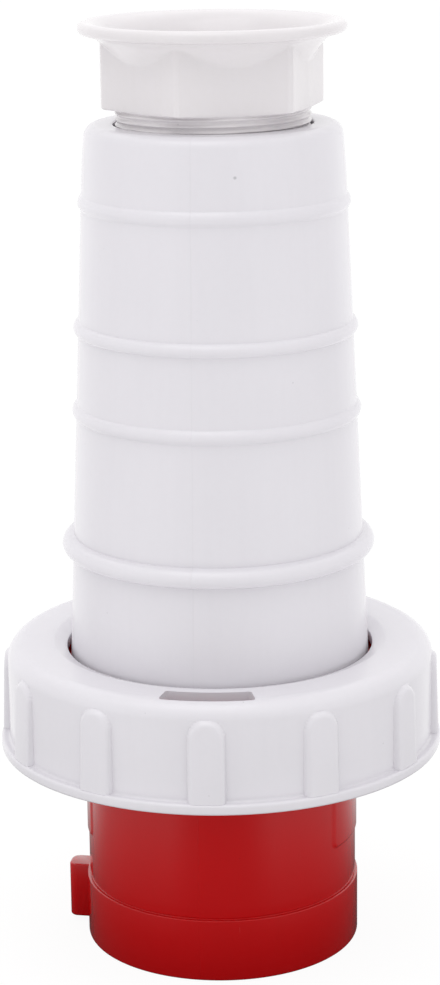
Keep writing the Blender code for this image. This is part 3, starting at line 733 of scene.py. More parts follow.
class Wardrobe:
    """The finishes, each made into a material once."""

    def __init__(self) -> None:
        """Make every material."""
        shell = ((0.765, 0.745, 0.785), (0.74, 0.72, 0.76), 0.22, 0.5)
        gland = ((0.78, 0.75, 0.77), (0.755, 0.725, 0.735), 0.2, 0.5)
        red = ((0.64, 0.001, 0.003), (0.61, 0.001, 0.002), 0.17, 0.35)
        black = ((0.055, 0.055, 0.06), (0.04, 0.04, 0.045), 0.55, 0.4)
        recipes = {
            Finish.HANDLE: Plastic("handle_plastic", *shell, mould_line=True, speck=SPECK),
            Finish.RING: Plastic("ring_plastic", *shell),
            Finish.GLAND: Plastic("gland_plastic", *gland),
            Finish.RED: Plastic("red_plastic", *red, mould_line=True, scuffs=0.01, coat=0.6),
            Finish.CARRIER: Plastic("carrier_plastic", *black, Grain.ERODED),
            Finish.RUBBER: Rubber("black_rubber", (0.018, 0.018, 0.019), (0.09, 0.088, 0.085)),
            Finish.PIN: Metal("nickelled_brass", (0.66, 0.61, 0.52), (0.5, 0.42, 0.3), 0.27, Grain.TURNED),
            Finish.SCREW: Metal("zinc_steel", (0.6, 0.62, 0.65), (0.5, 0.47, 0.4), 0.34, Grain.DRAWN),
        }
        self.materials = {finish: recipe.material() for finish, recipe in recipes.items()}

    def dress(self, part: Part, finish: Finish, body: Body, nodes: Sequence[str]) -> Part:
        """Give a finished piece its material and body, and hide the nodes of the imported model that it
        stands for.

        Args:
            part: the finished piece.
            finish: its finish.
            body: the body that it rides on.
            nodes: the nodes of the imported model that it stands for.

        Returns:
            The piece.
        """
        part.data.materials.clear()
        part.data.materials.append(self.materials[finish])
        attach(part, body.value)
        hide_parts(*nodes)
        LOG.info("%s: %d faces, for %s", part.name, len(part.data.polygons), ", ".join(nodes))
        return part


@dataclass
class Handle:
    """Tapered hand grip with a stop bead, three small beads, a threaded neck and screw bosses."""

    foot: float = 75.9 * MM
    top: float = 211.1 * MM
    foot_radius: float = 38.03 * MM
    taper: float = math.tan(math.radians(2.6))
    wall: float = 3.2 * MM
    beads: tuple[tuple[float, float, float], ...] = (
        (105.8 * MM, 2.4 * MM, 2.77 * MM),
        (140.1 * MM, 1.75 * MM, 1.0 * MM),
        (161.0 * MM, 1.75 * MM, 1.2 * MM),
        (192.1 * MM, 1.75 * MM, 0.8 * MM),
    )
    bead_fillet: float = 0.22 * MM
    nose: float = 200.1 * MM
    nose_inset: float = 0.4 * MM
    nose_round: float = 3.0 * MM
    nose_facet: float = math.radians(9.0)
    neck_radius: float = 24.5 * MM
    neck_floor: float = 182.6 * MM
    floor_under: float = 179.2 * MM
    hole_radius: float = 17.0 * MM
    thread_depth: float = 0.8 * MM
    thread_bottom: float = 199.4 * MM
    boss_radius: float = 3.8 * MM
    boss_bottom: float = 74.6 * MM
    boss_top: float = 104.6 * MM
    boss_hole: float = 2.4 * MM
    boss_hole_top: float = 95.0 * MM
    drill_point: float = 1.0 * MM
    web: float = 3.0 * MM
    web_inset: float = 2.0 * MM
    steps: int = 240

    def radius(self, height: float) -> float:
        """Outer radius of the plain taper at a height."""
        return self.foot_radius - (height - self.foot) * self.taper

    def skin(self, height: float) -> float:
        """Outer radius with the beads and their fillets at a height."""
        plain = self.radius(height)
        reach = plain
        for middle, half, proud in self.beads:
            arc = (half * half + proud * proud) / (2.0 * proud)
            drop = height - middle
            if abs(drop) < arc:
                rise = math.sqrt(arc * arc - drop * drop) - (arc - proud)
                reach = smooth_max(reach, plain + rise, self.bead_fillet)
        return reach

    def rows(self) -> list[float]:
        """Heights of the outer rows, close together at the beads."""
        heights = [self.foot + 1.0 * MM]
        for middle, half, _ in self.beads:
            low, high = middle - half - 0.5 * MM, middle + half + 0.5 * MM
            heights += spaced(heights[-1], low, 4.0 * MM) + [low]
            heights += spaced(low, high, 0.16 * MM) + [high]
        return heights + spaced(heights[-1], self.nose, 3.0 * MM)

    def model(self) -> Part:
        """The whole handle.

        Returns:
            The finished mesh.
        """
        foot_bore = self.radius(SPIGOT_TOP) - self.wall
        corners = [
            Corner(foot_bore, self.foot, 0.3 * MM),
            Corner(self.foot_radius, self.foot, 0.6 * MM),
            *[Corner(self.skin(height), height) for height in self.rows()],
            Corner(self.radius(self.nose), self.nose),
            Corner(self.radius(self.top) - self.nose_inset, self.top, self.nose_round, facet=self.nose_facet),
            Corner(self.neck_radius, self.top, 0.5 * MM),
            Corner(self.neck_radius, self.thread_bottom, gap=GLAND_PITCH / 8.0),
            Corner(self.neck_radius, self.neck_floor, gap=4.0 * MM),
            Corner(self.hole_radius, self.neck_floor, 0.4 * MM),
            Corner(self.hole_radius, self.floor_under, 0.4 * MM),
            Corner(self.radius(self.floor_under) - self.wall, self.floor_under, 3.0 * MM),
            Corner(foot_bore, SPIGOT_TOP, gap=6.0 * MM),
        ]
        part = Bench.press(Bench.lathe("handle_grip", corners, self.steps), self.thread_reach)
        for degrees in SCREW_ANGLES:
            Bench.combine(part, [self.boss(degrees)], "UNION")
            Bench.combine(part, [self.web_wall(degrees)], "UNION")
        Bench.combine(part, [self.hole(degrees) for degrees in SCREW_ANGLES], "DIFFERENCE")
        return Bench.smooth(part)

    def thread_reach(self, radius: float, angle: float, height: float) -> float:
        """Radius of the neck's inner thread, which is cut into its wall."""
        inside = abs(radius - self.neck_radius) < 0.02 * MM and height > self.thread_bottom - 0.1 * MM
        if not inside:
            return radius
        fade = smooth_step((self.top - 0.6 * MM - height) / GLAND_PITCH)
        fade *= smooth_step((height - self.thread_bottom) / GLAND_PITCH)
        return radius + self.thread_depth * fade * thread_wave(angle, height, GLAND_PITCH)

    def boss(self, degrees: float) -> Part:
        """Round boss for one of the long screws."""
        ends = (self.boss_bottom, self.boss_top)
        return Bench.spot(Bench.rod("boss", self.boss_radius, ends, 40, DISC_ROUNDING), SCREW_CIRCLE, degrees)

    def web_wall(self, degrees: float) -> Part:
        """Web that ties a boss to the handle's wall, above the spigot."""
        low, high = SPIGOT_TOP + self.web_inset, self.boss_top - self.web_inset
        outer = self.radius(high) - self.wall / 2.0
        half = self.web / 2.0
        web = Bench.block("web", (SCREW_CIRCLE, -half, low), (outer, half, high))
        return Bench.spot(web, 0.0, degrees)

    def hole(self, degrees: float) -> Part:
        """Blind hole of one of the long screws, as a cutter."""
        low = self.boss_bottom - OVERSHOOT
        corners = [
            Corner(0.0, low),
            Corner(self.boss_hole, low),
            Corner(self.boss_hole, self.boss_hole_top),
            Corner(0.0, self.boss_hole_top + self.drill_point),
        ]
        return Bench.spot(Bench.lathe("boss_hole", corners, 24), SCREW_CIRCLE, degrees)


def thread_wave(angle: float, height: float, pitch: float) -> float:
    """Share of its depth that a right-handed thread has at a place: 0 on its crest, 1 at its root."""
    phase = (height / pitch - angle / TURN) % 1.0
    flank = abs(phase - 0.5) * 2.0
    return min(max((THREAD_CREST - flank) / THREAD_FLANK, 0.0), 1.0)


@dataclass
class GlandNut:
    """Gland nut with a threaded sleeve, a hexagon and a trumpet mouth with a rolled rim."""

    sleeve_end: float = 201.0 * MM
    bottom: float = 215.0 * MM
    top: float = 235.7 * MM
    bore: float = 18.5 * MM
    thread_radius: float = 24.0 * MM
    thread_depth: float = 0.62 * MM
    chamfer: float = 0.6 * MM
    runout: float = 0.5 * MM
    flat_radius: float = 24.2 * MM
    corner_flat: float = 1.3 * MM
    corner_angle: float = math.radians(-98.1)
    edge: float = 31.2 * MM
    roll: float = 1.5 * MM
    flare_drop: float = 6.4 * MM
    flare_reach: float = 7.0 * MM
    funnel_drop: float = 17.7 * MM
    blend: float = 0.35 * MM
    steps: int = 480

    @property
    def ledge(self) -> float:
        """Height of the rolled rim's underside."""
        return self.top - 2.0 * self.roll

    def flare(self, height: float) -> float:
        """Radius of the trumpet's underside at a height."""
        drop = max(self.ledge - height, 0.0)
        return self.edge - self.flare_reach * math.sqrt(drop / self.flare_drop)

    def hexagon(self, angle: float) -> float:
        """Radius of the hexagon's outline in a direction, with its corners taken off."""
        sixth = TURN / 6.0
        half = sixth / 2.0
        turned = (angle - self.corner_angle) % sixth
        flat = self.flat_radius / math.cos(turned - half)
        distance = self.flat_radius / math.cos(half) - self.corner_flat / 2.0 * math.tan(half)
        corner = distance / math.cos(min(turned, sixth - turned))
        return -smooth_max(-flat, -corner, 0.1 * MM)

    def funnel(self, height: float) -> float:
        """Radius of the trumpet's mouth at a height."""
        drop = max(self.top - height, 0.0)
        return self.edge - (self.edge - self.bore) * math.sqrt(drop / self.funnel_drop)

    def reach(self, radius: float, angle: float, height: float) -> float:
        """Radius of the nut's skin: thread below, hexagon in the middle, flare above."""
        if radius < self.bore + 0.5 * MM:
            return radius
        if height < self.bottom - 0.01 * MM:
            if radius < self.thread_radius - 0.02 * MM:
                return radius
            fade = smooth_step((height - self.sleeve_end - self.chamfer) / GLAND_PITCH)
            fade *= smooth_step((self.bottom - 0.05 * MM - height) / self.runout)
            return radius - self.thread_depth * fade * thread_wave(angle, height, GLAND_PITCH)
        if height > self.ledge - 0.01 * MM or radius < self.funnel(height) + 0.3 * MM:
            return radius
        hexagon = self.hexagon(angle)
        if radius < self.flat_radius - 0.001 * MM:
            share = max(radius - self.thread_radius, 0.0) / (self.flat_radius - self.thread_radius)
            return radius if share <= 0.0 else self.thread_radius + share * (hexagon - self.thread_radius)
        return smooth_max(radius, hexagon, self.blend)

    def model(self) -> Part:
        """The whole nut.

        Returns:
            The finished mesh.
        """
        step = (self.flat_radius - self.thread_radius) / 3.0
        corners = [
            Corner(self.bore, self.sleeve_end, 0.4 * MM),
            Corner(self.thread_radius - self.chamfer, self.sleeve_end),
            Corner(self.thread_radius, self.sleeve_end + self.chamfer),
            Corner(self.thread_radius, self.bottom - 0.02 * MM, gap=GLAND_PITCH / 10.0),
            Corner(self.thread_radius, self.bottom),
            Corner(self.thread_radius + step, self.bottom),
            Corner(self.thread_radius + 2.0 * step, self.bottom),
            Corner(self.flat_radius - step * 0.4, self.bottom + 0.08 * MM),
            Corner(self.flat_radius, self.bottom + 0.4 * MM),
        ]
        crossing = self.ledge - self.flare_drop
        corners.append(Corner(self.flat_radius, crossing, gap=0.6 * MM))
        corners += [Corner(self.flare(height), height) for height in spaced(crossing, self.ledge, 0.3 * MM)]
        rim = self.top - self.roll
        for angle in map(math.radians, range(-105, 91, 13)):
            corners.append(Corner(self.edge + self.roll * math.cos(angle), rim + self.roll * math.sin(angle)))
        slope = self.edge - self.bore
        for share in [place / 18.0 for place in range(1, 19)]:
            corners.append(Corner(self.edge - slope * share, self.top - self.funnel_drop * share * share))
        return Bench.smooth(Bench.press(Bench.lathe("cable_gland_nut", corners, self.steps), self.reach))


@dataclass
class LockingRing:
    """Ring with shoulder, lip, twelve grip ribs, windows and bayonet lugs."""

    bottom: float = 52.6 * MM
    top: float = 79.9 * MM
    ceiling: float = 75.9 * MM
    hole: float = 38.95 * MM
    crown: float = 1.3 * MM
    crown_width: float = 3.4 * MM
    bore: float = 51.448 * MM
    radius: float = 54.248 * MM
    shoulder: float = 6.0 * MM
    inner_shoulder: float = 3.2 * MM
    lip_radius: float = 56.448 * MM
    lip_height: float = 2.7 * MM
    lip_round: float = 0.7 * MM
    rib_count: int = 12
    first_rib: float = math.radians(-83.9)
    rib_half: float = 4.5 * MM
    rib_round: float = 1.3 * MM
    rib_proud: float = 1.15 * MM
    rib_top: float = 76.0 * MM
    rib_lean: float = math.tan(math.radians(2.0))
    fillet: float = 0.35 * MM
    foot_flare: float = 0.9
    foot_fade: float = 1.2 * MM
    crowding: float = 0.6
    skin: float = 1.2 * MM
    window_slope: float = 1.07
    window_round: float = 0.7 * MM
    window_span: float = math.radians(25.0)
    window_radii: Point = (45.248 * MM, 51.148 * MM)
    lug_span: float = math.radians(24.0)
    lug_reach: float = 5.0 * MM
    lug_bottom: float = 55.2 * MM
    lug_thickness: float = 4.4 * MM
    lug_ramp: float = 1.6 * MM
    lug_root: float = 1.4 * MM
    lug_round: float = 0.5 * MM
    steps: int = 576

    @property
    def ledge(self) -> float:
        """Height of the lip's upper face."""
        return self.bottom + self.lip_height

    def rib(self, radius: float, angle: float, height: float) -> float:
        """Radius of the nearest rib's skin in a direction, or 0 beside it."""
        share = TURN / self.rib_count
        aside = radius * math.sin(offset_angle((angle - self.first_rib + share / 2.0) % share, share / 2.0))
        dome = max(height - (self.rib_top - self.rib_half), 0.0)
        beyond = math.hypot(aside, dome) - (self.rib_half - self.rib_round)
        if beyond >= self.rib_round:
            return 0.0
        crest = self.radius + self.rib_proud + (self.rib_top - height) * self.rib_lean
        return crest - self.rib_round + math.sqrt(self.rib_round ** 2 - max(beyond, 0.0) ** 2)

    def crowd(self, angle: float) -> float:
        """Angle of a column, moved towards the nearest edge of a rib."""
        waves = 3 * self.rib_count
        return angle + self.crowding / waves * math.sin(waves * (angle - self.first_rib))

    def reach(self, radius: float, angle: float, height: float) -> float:
        """Radius of the ring's outer skin with its ribs."""
        if radius < self.bore + self.skin or height < self.ledge - 0.05 * MM:
            return radius
        flare = self.fillet * (1.0 + self.foot_flare * math.exp((self.ledge - height) / self.foot_fade))
        ribbed = smooth_max(radius, self.rib(radius, angle, height), flare)
        return min(ribbed, max(radius, self.lip_radius - 0.1 * MM))

    def model(self) -> Part:
        """The whole ring.

        Returns:
            The finished mesh.
        """
        corners = [
            Corner(self.bore, self.bottom, 0.4 * MM),
            Corner(self.lip_radius, self.bottom, self.lip_round),
            Corner(self.lip_radius, self.ledge, self.lip_round),
            Corner(self.radius, self.ledge, self.lip_round, 0.3 * MM),
            Corner(self.radius, self.ledge + 3.0 * MM, gap=0.3 * MM),
            Corner(self.radius, self.rib_top - self.rib_half - 0.5 * MM, gap=1.0 * MM),
            Corner(self.radius, self.top, self.shoulder, 0.25 * MM, math.radians(2.5)),
            Corner(self.hole + self.crown_width, self.top, 2.5 * MM, 1.5 * MM),
            Corner(self.hole, self.top - self.crown, 0.4 * MM, 1.0 * MM),
            Corner(self.hole, self.ceiling, 0.3 * MM),
            Corner(self.bore, self.ceiling, self.inner_shoulder, 2.0 * MM),
        ]
        part = Bench.press(Bench.lathe("bayonet_ring", corners, self.steps), self.reach, self.crowd)
        stations = (self.first_rib, self.first_rib + math.pi)
        Bench.combine(part, [self.lug(angle) for angle in stations], "UNION")
        Bench.combine(part, [self.window(angle) for angle in stations], "DIFFERENCE")
        return Bench.smooth(part)

    def window(self, angle: float) -> Part:
        """One window through the top of the ring, as a cutter with sloping ends and round corners."""
        heights = (self.ceiling - 3.0 * MM, self.top + OVERSHOOT)
        cutter = Bench.arch("window", self.window_radii, heights, angle, self.window_span)
        for point in cutter.data.vertices:
            aside = offset_angle(math.atan2(point.co.y, point.co.x), angle)
            slope = self.window_slope if point.co.z > self.top else 1.0
            radius = point.co.xy.length
            point.co.x = radius * math.cos(angle + aside * slope)
            point.co.y = radius * math.sin(angle + aside * slope)

        def is_corner(start: Vector, end: Vector) -> bool:
            """Whether an edge runs up one of the cutter's four corners."""
            aside = offset_angle(math.atan2(start.y, start.x), angle)
            return abs(start.z - end.z) > 1.0 * MM and abs(aside) > self.window_span * 0.49

        return Bench.bevel(cutter, is_corner, self.window_round)

    def lug(self, angle: float) -> Part:
        """One bayonet lug, with an upper face that rises along the ring."""
        radii = (self.bore - self.lug_reach, self.bore + self.lug_root)
        heights = (self.lug_bottom, self.lug_bottom + self.lug_thickness)
        lug = Bench.arch("lug", radii, heights, angle, self.lug_span)
        for point in lug.data.vertices:
            if point.co.z > self.lug_bottom + 1.0 * MM:
                along = offset_angle(math.atan2(point.co.y, point.co.x), angle) / self.lug_span + 0.5
                point.co.z += self.lug_ramp * along
        inner = radii[0] + self.lug_round
        return Bench.bevel(
            lug, lambda start, end: max(start.xy.length, end.xy.length) < inner, self.lug_round, 2
        )


@dataclass
class Shroud:
    """Red shroud with sleeve, key, raised fields, ledge, flange and spigot."""

    radius: float = 35.25 * MM
    barrel: float = 34.65 * MM
    socket: float = 31.25 * MM
    ledge: float = 29.2 * MM
    ledge_under: float = 60.0 * MM
    ledge_top: float = 62.0 * MM
    sleeve: float = 16.2 * MM
    crease: float = 0.3 * MM
    flange_under: float = 69.0 * MM
    flange_top: float = 75.6 * MM
    flange_radius: float = 46.448 * MM
    spigot_radius: float = 34.144 * MM
    spigot_bore: float = 30.744 * MM
    groove_floor: float = 32.244 * MM
    groove: Point = (77.6 * MM, 80.2 * MM)
    foot_groove: Point = (38.3 * MM, 40.2 * MM)
    foot_groove_floor: float = 71.2 * MM
    rim_round: float = 0.5 * MM
    pad_height: float = 0.35 * MM
    pad_span: float = math.radians(52.0)
    pad_bottom: float = 29.0 * MM
    pad_round: float = 2.0 * MM
    pad_edge: float = 0.5 * MM
    key_tip: float = 40.65 * MM
    key_half: float = 3.3 * MM
    key_heights: Point = (1.3 * MM, 16.0 * MM)
    key_round: float = 2.2 * MM
    key_edge: float = 0.45 * MM
    steps: int = 400

    def reach(self, radius: float, angle: float, height: float) -> float:
        """Radius of the barrel with its two raised fields."""
        on_barrel = abs(radius - self.barrel) < 0.01 * MM
        if not on_barrel or height < self.sleeve + 3.0 * self.crease:
            return radius
        aside = min(abs(offset_angle(angle, 0.0)), abs(offset_angle(angle, math.pi)))
        across = radius * (self.pad_span / 2.0 - aside)
        along = height - self.pad_bottom
        inside = min(across, along)
        if across < self.pad_round and along < self.pad_round:
            inside = self.pad_round - math.hypot(self.pad_round - across, self.pad_round - along)
        return radius + self.pad_height * smooth_step(inside / self.pad_edge + 0.5)

    def model(self) -> Part:
        """The whole shroud.

        Returns:
            The finished mesh.
        """
        corners = [
            Corner(self.ledge, self.ledge_under, 0.2 * MM),
            Corner(self.socket, self.ledge_under, 0.3 * MM),
            Corner(self.socket, 0.0, self.rim_round, 8.0 * MM),
            Corner(self.radius, 0.0, self.rim_round),
            Corner(self.radius, self.sleeve, 0.25 * MM),
            Corner(self.barrel - self.crease, self.sleeve, 0.12 * MM),
            Corner(self.barrel - self.crease, self.sleeve + self.crease, 0.1 * MM),
            Corner(self.barrel, self.sleeve + 2.0 * self.crease, 0.1 * MM),
            Corner(self.barrel, self.pad_bottom - 1.5 * MM, gap=3.0 * MM),
            Corner(self.barrel, self.pad_bottom + 3.0 * MM, gap=0.25 * MM),
            Corner(self.barrel, self.flange_under, 0.6 * MM, 3.0 * MM),
            Corner(self.flange_radius, self.flange_under, 0.5 * MM),
            Corner(self.flange_radius, self.flange_top, 0.5 * MM),
            Corner(self.foot_groove[1], self.flange_top, 0.2 * MM),
            Corner(self.foot_groove[1], self.foot_groove_floor, 0.4 * MM),
            Corner(self.foot_groove[0], self.foot_groove_floor, 0.4 * MM),
            Corner(self.foot_groove[0], self.flange_top, 0.2 * MM),
            Corner(self.spigot_radius, self.flange_top, 0.3 * MM),
            Corner(self.spigot_radius, self.groove[0], 0.15 * MM),
            Corner(self.groove_floor, self.groove[0], 0.2 * MM),
            Corner(self.groove_floor, self.groove[1], 0.2 * MM),
            Corner(self.spigot_radius, self.groove[1], 0.15 * MM),
            Corner(self.spigot_radius, SPIGOT_TOP, 0.5 * MM),
            Corner(self.spigot_bore, SPIGOT_TOP, 0.25 * MM),
            Corner(self.spigot_bore, self.ledge_top, 0.3 * MM),
            Corner(self.ledge, self.ledge_top, 0.2 * MM),
        ]
        part = Bench.press(Bench.lathe("red_plug_shroud", corners, self.steps), self.reach)
        Bench.combine(part, [self.key()], "UNION")
        return Bench.smooth(part)

    def key(self) -> Part:
        """Key block on the sleeve, rounded at its outer corners and edges."""
        root = (self.socket + self.radius) / 2.0
        low = (-self.key_tip, -self.key_half, self.key_heights[0])
        high = (-root, self.key_half, self.key_heights[1])
        key = Bench.block("key", low, high)
        middle = sum(self.key_heights) / 2.0

        def is_upright(start: Vector, end: Vector) -> bool:
            """Whether an edge runs up one of the outer corners."""
            return max(start.x, end.x) < 1.0 * MM - self.key_tip and abs(start.z - end.z) > 1.0 * MM

        def is_rim(start: Vector, end: Vector) -> bool:
            """Whether an edge goes round the upper or the lower face, outside the sleeve."""
            level = abs(start.z - end.z) < 0.1 * MM
            outermost = abs(abs(start.z - middle) - (self.key_heights[1] - middle)) < 0.1 * MM
            return level and outermost and min(start.x, end.x) < -root - 0.5 * MM

        Bench.bevel(key, is_upright, self.key_round, 8)
        return Bench.bevel(key, is_rim, self.key_edge)


@dataclass
class Contacts:
    """Six contacts with their terminals and screws, the front plate, the carrier and the long screws."""

    circle: float = 19.0 * MM
    pin_angles: tuple[float, ...] = (180.0, 252.0, 324.0, 36.0, 108.0)
    half_step: float = 36.0
    names: tuple[str, ...] = ("earth", "neutral", "phase_1", "phase_2", "phase_3")
    socket_depth: float = 56.0 * MM
    plate_top: float = 62.0 * MM
    plate_step: float = 59.7 * MM
    plate_radius: float = 30.95 * MM
    plate_step_radius: float = 28.9 * MM
    power_radius: float = 4.0 * MM
    earth_radius: float = 5.0 * MM
    pilot_radius: float = 3.0 * MM
    power_tip: float = 10.0 * MM
    pilot_tip: float = 22.0 * MM
    terminal_radius: float = 6.2 * MM
    pilot_terminal: float = 4.4 * MM
    terminal_wall: float = 2.0 * MM
    terminal_top: float = 97.3 * MM
    wire_floor: float = 77.3 * MM
    collar: float = 0.8 * MM
    collar_top: float = 66.3 * MM
    carrier: Point = (62.3 * MM, 74.3 * MM)
    carrier_radius: float = 30.344 * MM
    barrier_top: float = 94.3 * MM
    barrier_half: float = 0.8 * MM
    barrier_reach: Point = (8.0 * MM, 20.844 * MM)
    drops: tuple[float, ...] = (14.0 * MM, 5.5 * MM)
    screw_hole: float = 2.5 * MM
    seat: float = 0.3 * MM
    play: float = 0.4 * MM
    long_hole: float = 2.4 * MM
    well_radius: float = 4.4 * MM
    well_floor: float = 59.1 * MM
    tip_round: float = 0.42
    thread_depth: float = 0.3 * MM
    pitch: float = 0.8 * MM
    point: float = 0.5 * MM
    slot_half: float = 0.5 * MM
    slot_depth: float = 1.1 * MM
    small_screw: tuple[float, ...] = (2.2 * MM, 3.0 * MM, 3.4 * MM, 2.2 * MM)
    long_screw: tuple[float, ...] = (2.0 * MM, 33.2 * MM, 4.0 * MM, 2.8 * MM)

    def pin(self, radius: float, tip: float, terminal: float, drops: Sequence[float]) -> Part:
        """One contact on the axis, its screw holes towards +X.

        Args:
            radius: radius of the pin.
            tip: height of its tip.
            terminal: outer radius of its terminal.
            drops: how far below the terminal's top its screws are.

        Returns:
            The contact.
        """
        wide = terminal + self.collar
        wire = terminal - self.terminal_wall
        corners = [
            Corner(0.0, tip),
            Corner(radius, tip, radius * self.tip_round, facet=math.radians(10.0)),
            Corner(radius, self.carrier[0], gap=6.0 * MM),
            Corner(wide, self.carrier[0], 0.2 * MM),
            Corner(wide, self.collar_top, 0.3 * MM),
            Corner(terminal, self.collar_top, 0.2 * MM),
            Corner(terminal, self.terminal_top, 0.4 * MM, 6.0 * MM),
            Corner(wire, self.terminal_top, 0.4 * MM),
            Corner(wire, self.wire_floor, 0.3 * MM, 5.0 * MM),
            Corner(0.0, self.wire_floor - 1.0 * MM),
        ]
        part = Bench.lathe("contact", corners, 56)
        lying = Matrix.Rotation(math.pi / 2.0, 4, "Y")
        holes = []
        for drop in drops:
            hole = Bench.rod("screw_hole", self.screw_hole, (0.0, terminal + OVERSHOOT), 28)
            lift = Matrix.Translation((0.0, 0.0, self.terminal_top - drop))
            holes.append(Bench.place(hole, lift @ lying))
        Bench.combine(part, holes, "DIFFERENCE")
        return Bench.smooth(part)

    def screw(self, shank: float, length: float, head: float, head_height: float) -> Part:
        """Slotted screw along +Z, with its head below height 0 and a thread on its shank.

        Args:
            shank: radius of the shank.
            length: length of the shank.
            head: radius of the head.
            head_height: height of the head.

        Returns:
            The screw.
        """
        corners = [
            Corner(0.0, -head_height),
            Corner(head, -head_height, 0.55 * MM),
            Corner(head, 0.0, 0.15 * MM),
            Corner(shank, 0.0),
            Corner(shank, length - self.point, gap=self.pitch / 8.0),
            Corner(shank - self.point, length),
            Corner(0.0, length),
        ]
        part = Bench.lathe("slotted_screw", corners, 40)

        def groove(radius: float, angle: float, height: float) -> float:
            """Radius of the shank's skin with its thread."""
            if abs(radius - shank) > 0.01 * MM or not 0.3 * MM < height < length - 0.4 * MM:
                return radius
            return radius - self.thread_depth * thread_wave(angle, height, self.pitch)

        Bench.press(part, groove)
        low = (-head - MM, -self.slot_half, -head_height - MM)
        high = (head + MM, self.slot_half, self.slot_depth - head_height)
        Bench.combine(part, [Bench.block("slot", low, high)], "DIFFERENCE")
        return Bench.smooth(part)

    def plate(self) -> Part:
        """Front plate with the holes of the pins and the wells of the long screws."""
        corners = [
            Corner(0.0, self.socket_depth),
            Corner(self.plate_radius, self.socket_depth, 0.5 * MM),
            Corner(self.plate_radius, self.plate_step, 0.2 * MM),
            Corner(self.plate_step_radius, self.plate_step),
            Corner(self.plate_step_radius, self.plate_top, 0.3 * MM),
            Corner(0.0, self.plate_top),
        ]
        part = Bench.lathe("front_pin_plate", corners, 160)
        low, high = self.socket_depth - OVERSHOOT, self.plate_top + OVERSHOOT
        tools = [Bench.rod("pin_hole", self.pilot_radius + self.play, (low, high), 40)]
        for name, angle in zip(self.names, self.pin_angles):
            radius = self.earth_radius if name == "earth" else self.power_radius
            hole = Bench.rod("pin_hole", radius + self.play, (low, high), 40)
            tools.append(Bench.spot(hole, self.circle, angle))
        for angle in SCREW_ANGLES:
            heights = (low, self.well_floor, high)
            well = self.stepped("screw_well", self.well_radius, self.long_hole, heights, 40)
            tools.append(Bench.spot(well, SCREW_CIRCLE, angle))
        Bench.combine(part, tools, "DIFFERENCE")
        return Bench.smooth(part)

    @staticmethod
    def stepped(name: str, wide: float, narrow: float, heights: Sequence[float], steps: int) -> Part:
        """Stepped round bar along Z, as a cutter, wide below its step.

        Args:
            name: the cutter's name.
            wide: radius below the step.
            narrow: radius above it.
            heights: its lower end, its step and its upper end.
            steps: how many facets go round.

        Returns:
            The cutter.
        """
        low, step, high = heights
        corners = [
            Corner(0.0, low),
            Corner(wide, low),
            Corner(wide, step),
            Corner(narrow, step),
            Corner(narrow, high),
            Corner(0.0, high),
        ]
        return Bench.lathe(name, corners, steps)

    def carrier_disc(self) -> Part:
        """Carrier of the terminals with the walls between them."""
        low, high = self.carrier
        part = Bench.rod("terminal_carrier", self.carrier_radius, self.carrier, 160, DISC_ROUNDING)
        start, end = self.barrier_reach
        foot = (start, -self.barrier_half, high - OVERSHOOT)
        head = (end, self.barrier_half, self.barrier_top)
        for angle in self.pin_angles:
            wall = Bench.block("barrier", foot, head)
            Bench.bevel(wall, lambda one, two: min(one.z, two.z) > high, 0.3 * MM, 2)
            Bench.combine(part, [Bench.spot(wall, 0.0, angle + self.half_step)], "UNION")
        tools = [self.pocket(self.pilot_terminal, 0.0, 0.0)]
        tools += [self.pocket(self.terminal_radius, self.circle, angle) for angle in self.pin_angles]
        for angle in SCREW_ANGLES:
            hole = Bench.rod("hole", self.long_hole, (low - MM, high + MM), 24)
            tools.append(Bench.spot(hole, SCREW_CIRCLE, angle))
        Bench.combine(part, tools, "DIFFERENCE")
        return Bench.smooth(part)

    def pocket(self, radius: float, circle: float, degrees: float) -> Part:
        """Stepped hole of one terminal in the carrier, as a cutter."""
        low, high = self.carrier
        heights = (low - OVERSHOOT, self.collar_top + self.seat, high + OVERSHOOT)
        cutter = self.stepped("pocket", radius + self.collar + self.seat, radius + self.seat, heights, 48)
        return Bench.spot(cutter, circle, degrees)

    def build(self, wardrobe: Wardrobe) -> None:
        """Make and dress all the pieces of the contacts."""
        wardrobe.dress(self.plate(), Finish.CARRIER, Body.PLUG, ["front_plate"])
        wardrobe.dress(self.carrier_disc(), Finish.CARRIER, Body.PLUG, ["contact_carrier"])
        power = self.pin(self.power_radius, self.power_tip, self.terminal_radius, self.drops)
        earth = self.pin(self.earth_radius, self.power_tip, self.terminal_radius, self.drops)
        pilot = self.pin(self.pilot_radius, self.pilot_tip, self.pilot_terminal, self.drops[:1])
        small = self.screw(*self.small_screw)
        places = [
            (name, earth if name == "earth" else power, angle, self.circle, self.terminal_radius, self.drops)
            for name, angle in zip(self.names, self.pin_angles)
        ]
        places.append(("pilot", pilot, 180.0, 0.0, self.pilot_terminal, self.drops[:1]))
        for name, model, degrees, circle, terminal, drops in places:
            pin = Bench.copy(model, f"{name}_contact", station(circle, degrees))
            wardrobe.dress(pin, Finish.PIN, Body.PLUG, [f"pin_{name}"])
            for drop, level in zip(drops, ("lower", "upper")):
                seat = Matrix.Translation((terminal + self.seat, 0.0, self.terminal_top - drop))
                lying = station(circle, degrees) @ seat @ Matrix.Rotation(-math.pi / 2.0, 4, "Y")
                screw = Bench.copy(small, f"{name}_{level}_screw", lying)
                wardrobe.dress(screw, Finish.SCREW, Body.PLUG, [f"terminal_screw_{name}_{level}"])
        long = self.screw(*self.long_screw)
        lift = Matrix.Translation((0.0, 0.0, self.socket_depth + self.long_screw[-1]))
        for number, degrees in enumerate(SCREW_ANGLES, start=1):
            screw = Bench.copy(long, f"long_screw_{number}", station(SCREW_CIRCLE, degrees) @ lift)
            wardrobe.dress(screw, Finish.SCREW, Body.PLUG, [f"handle_screw_{number}"])
        for model in (power, earth, pilot, small, long):
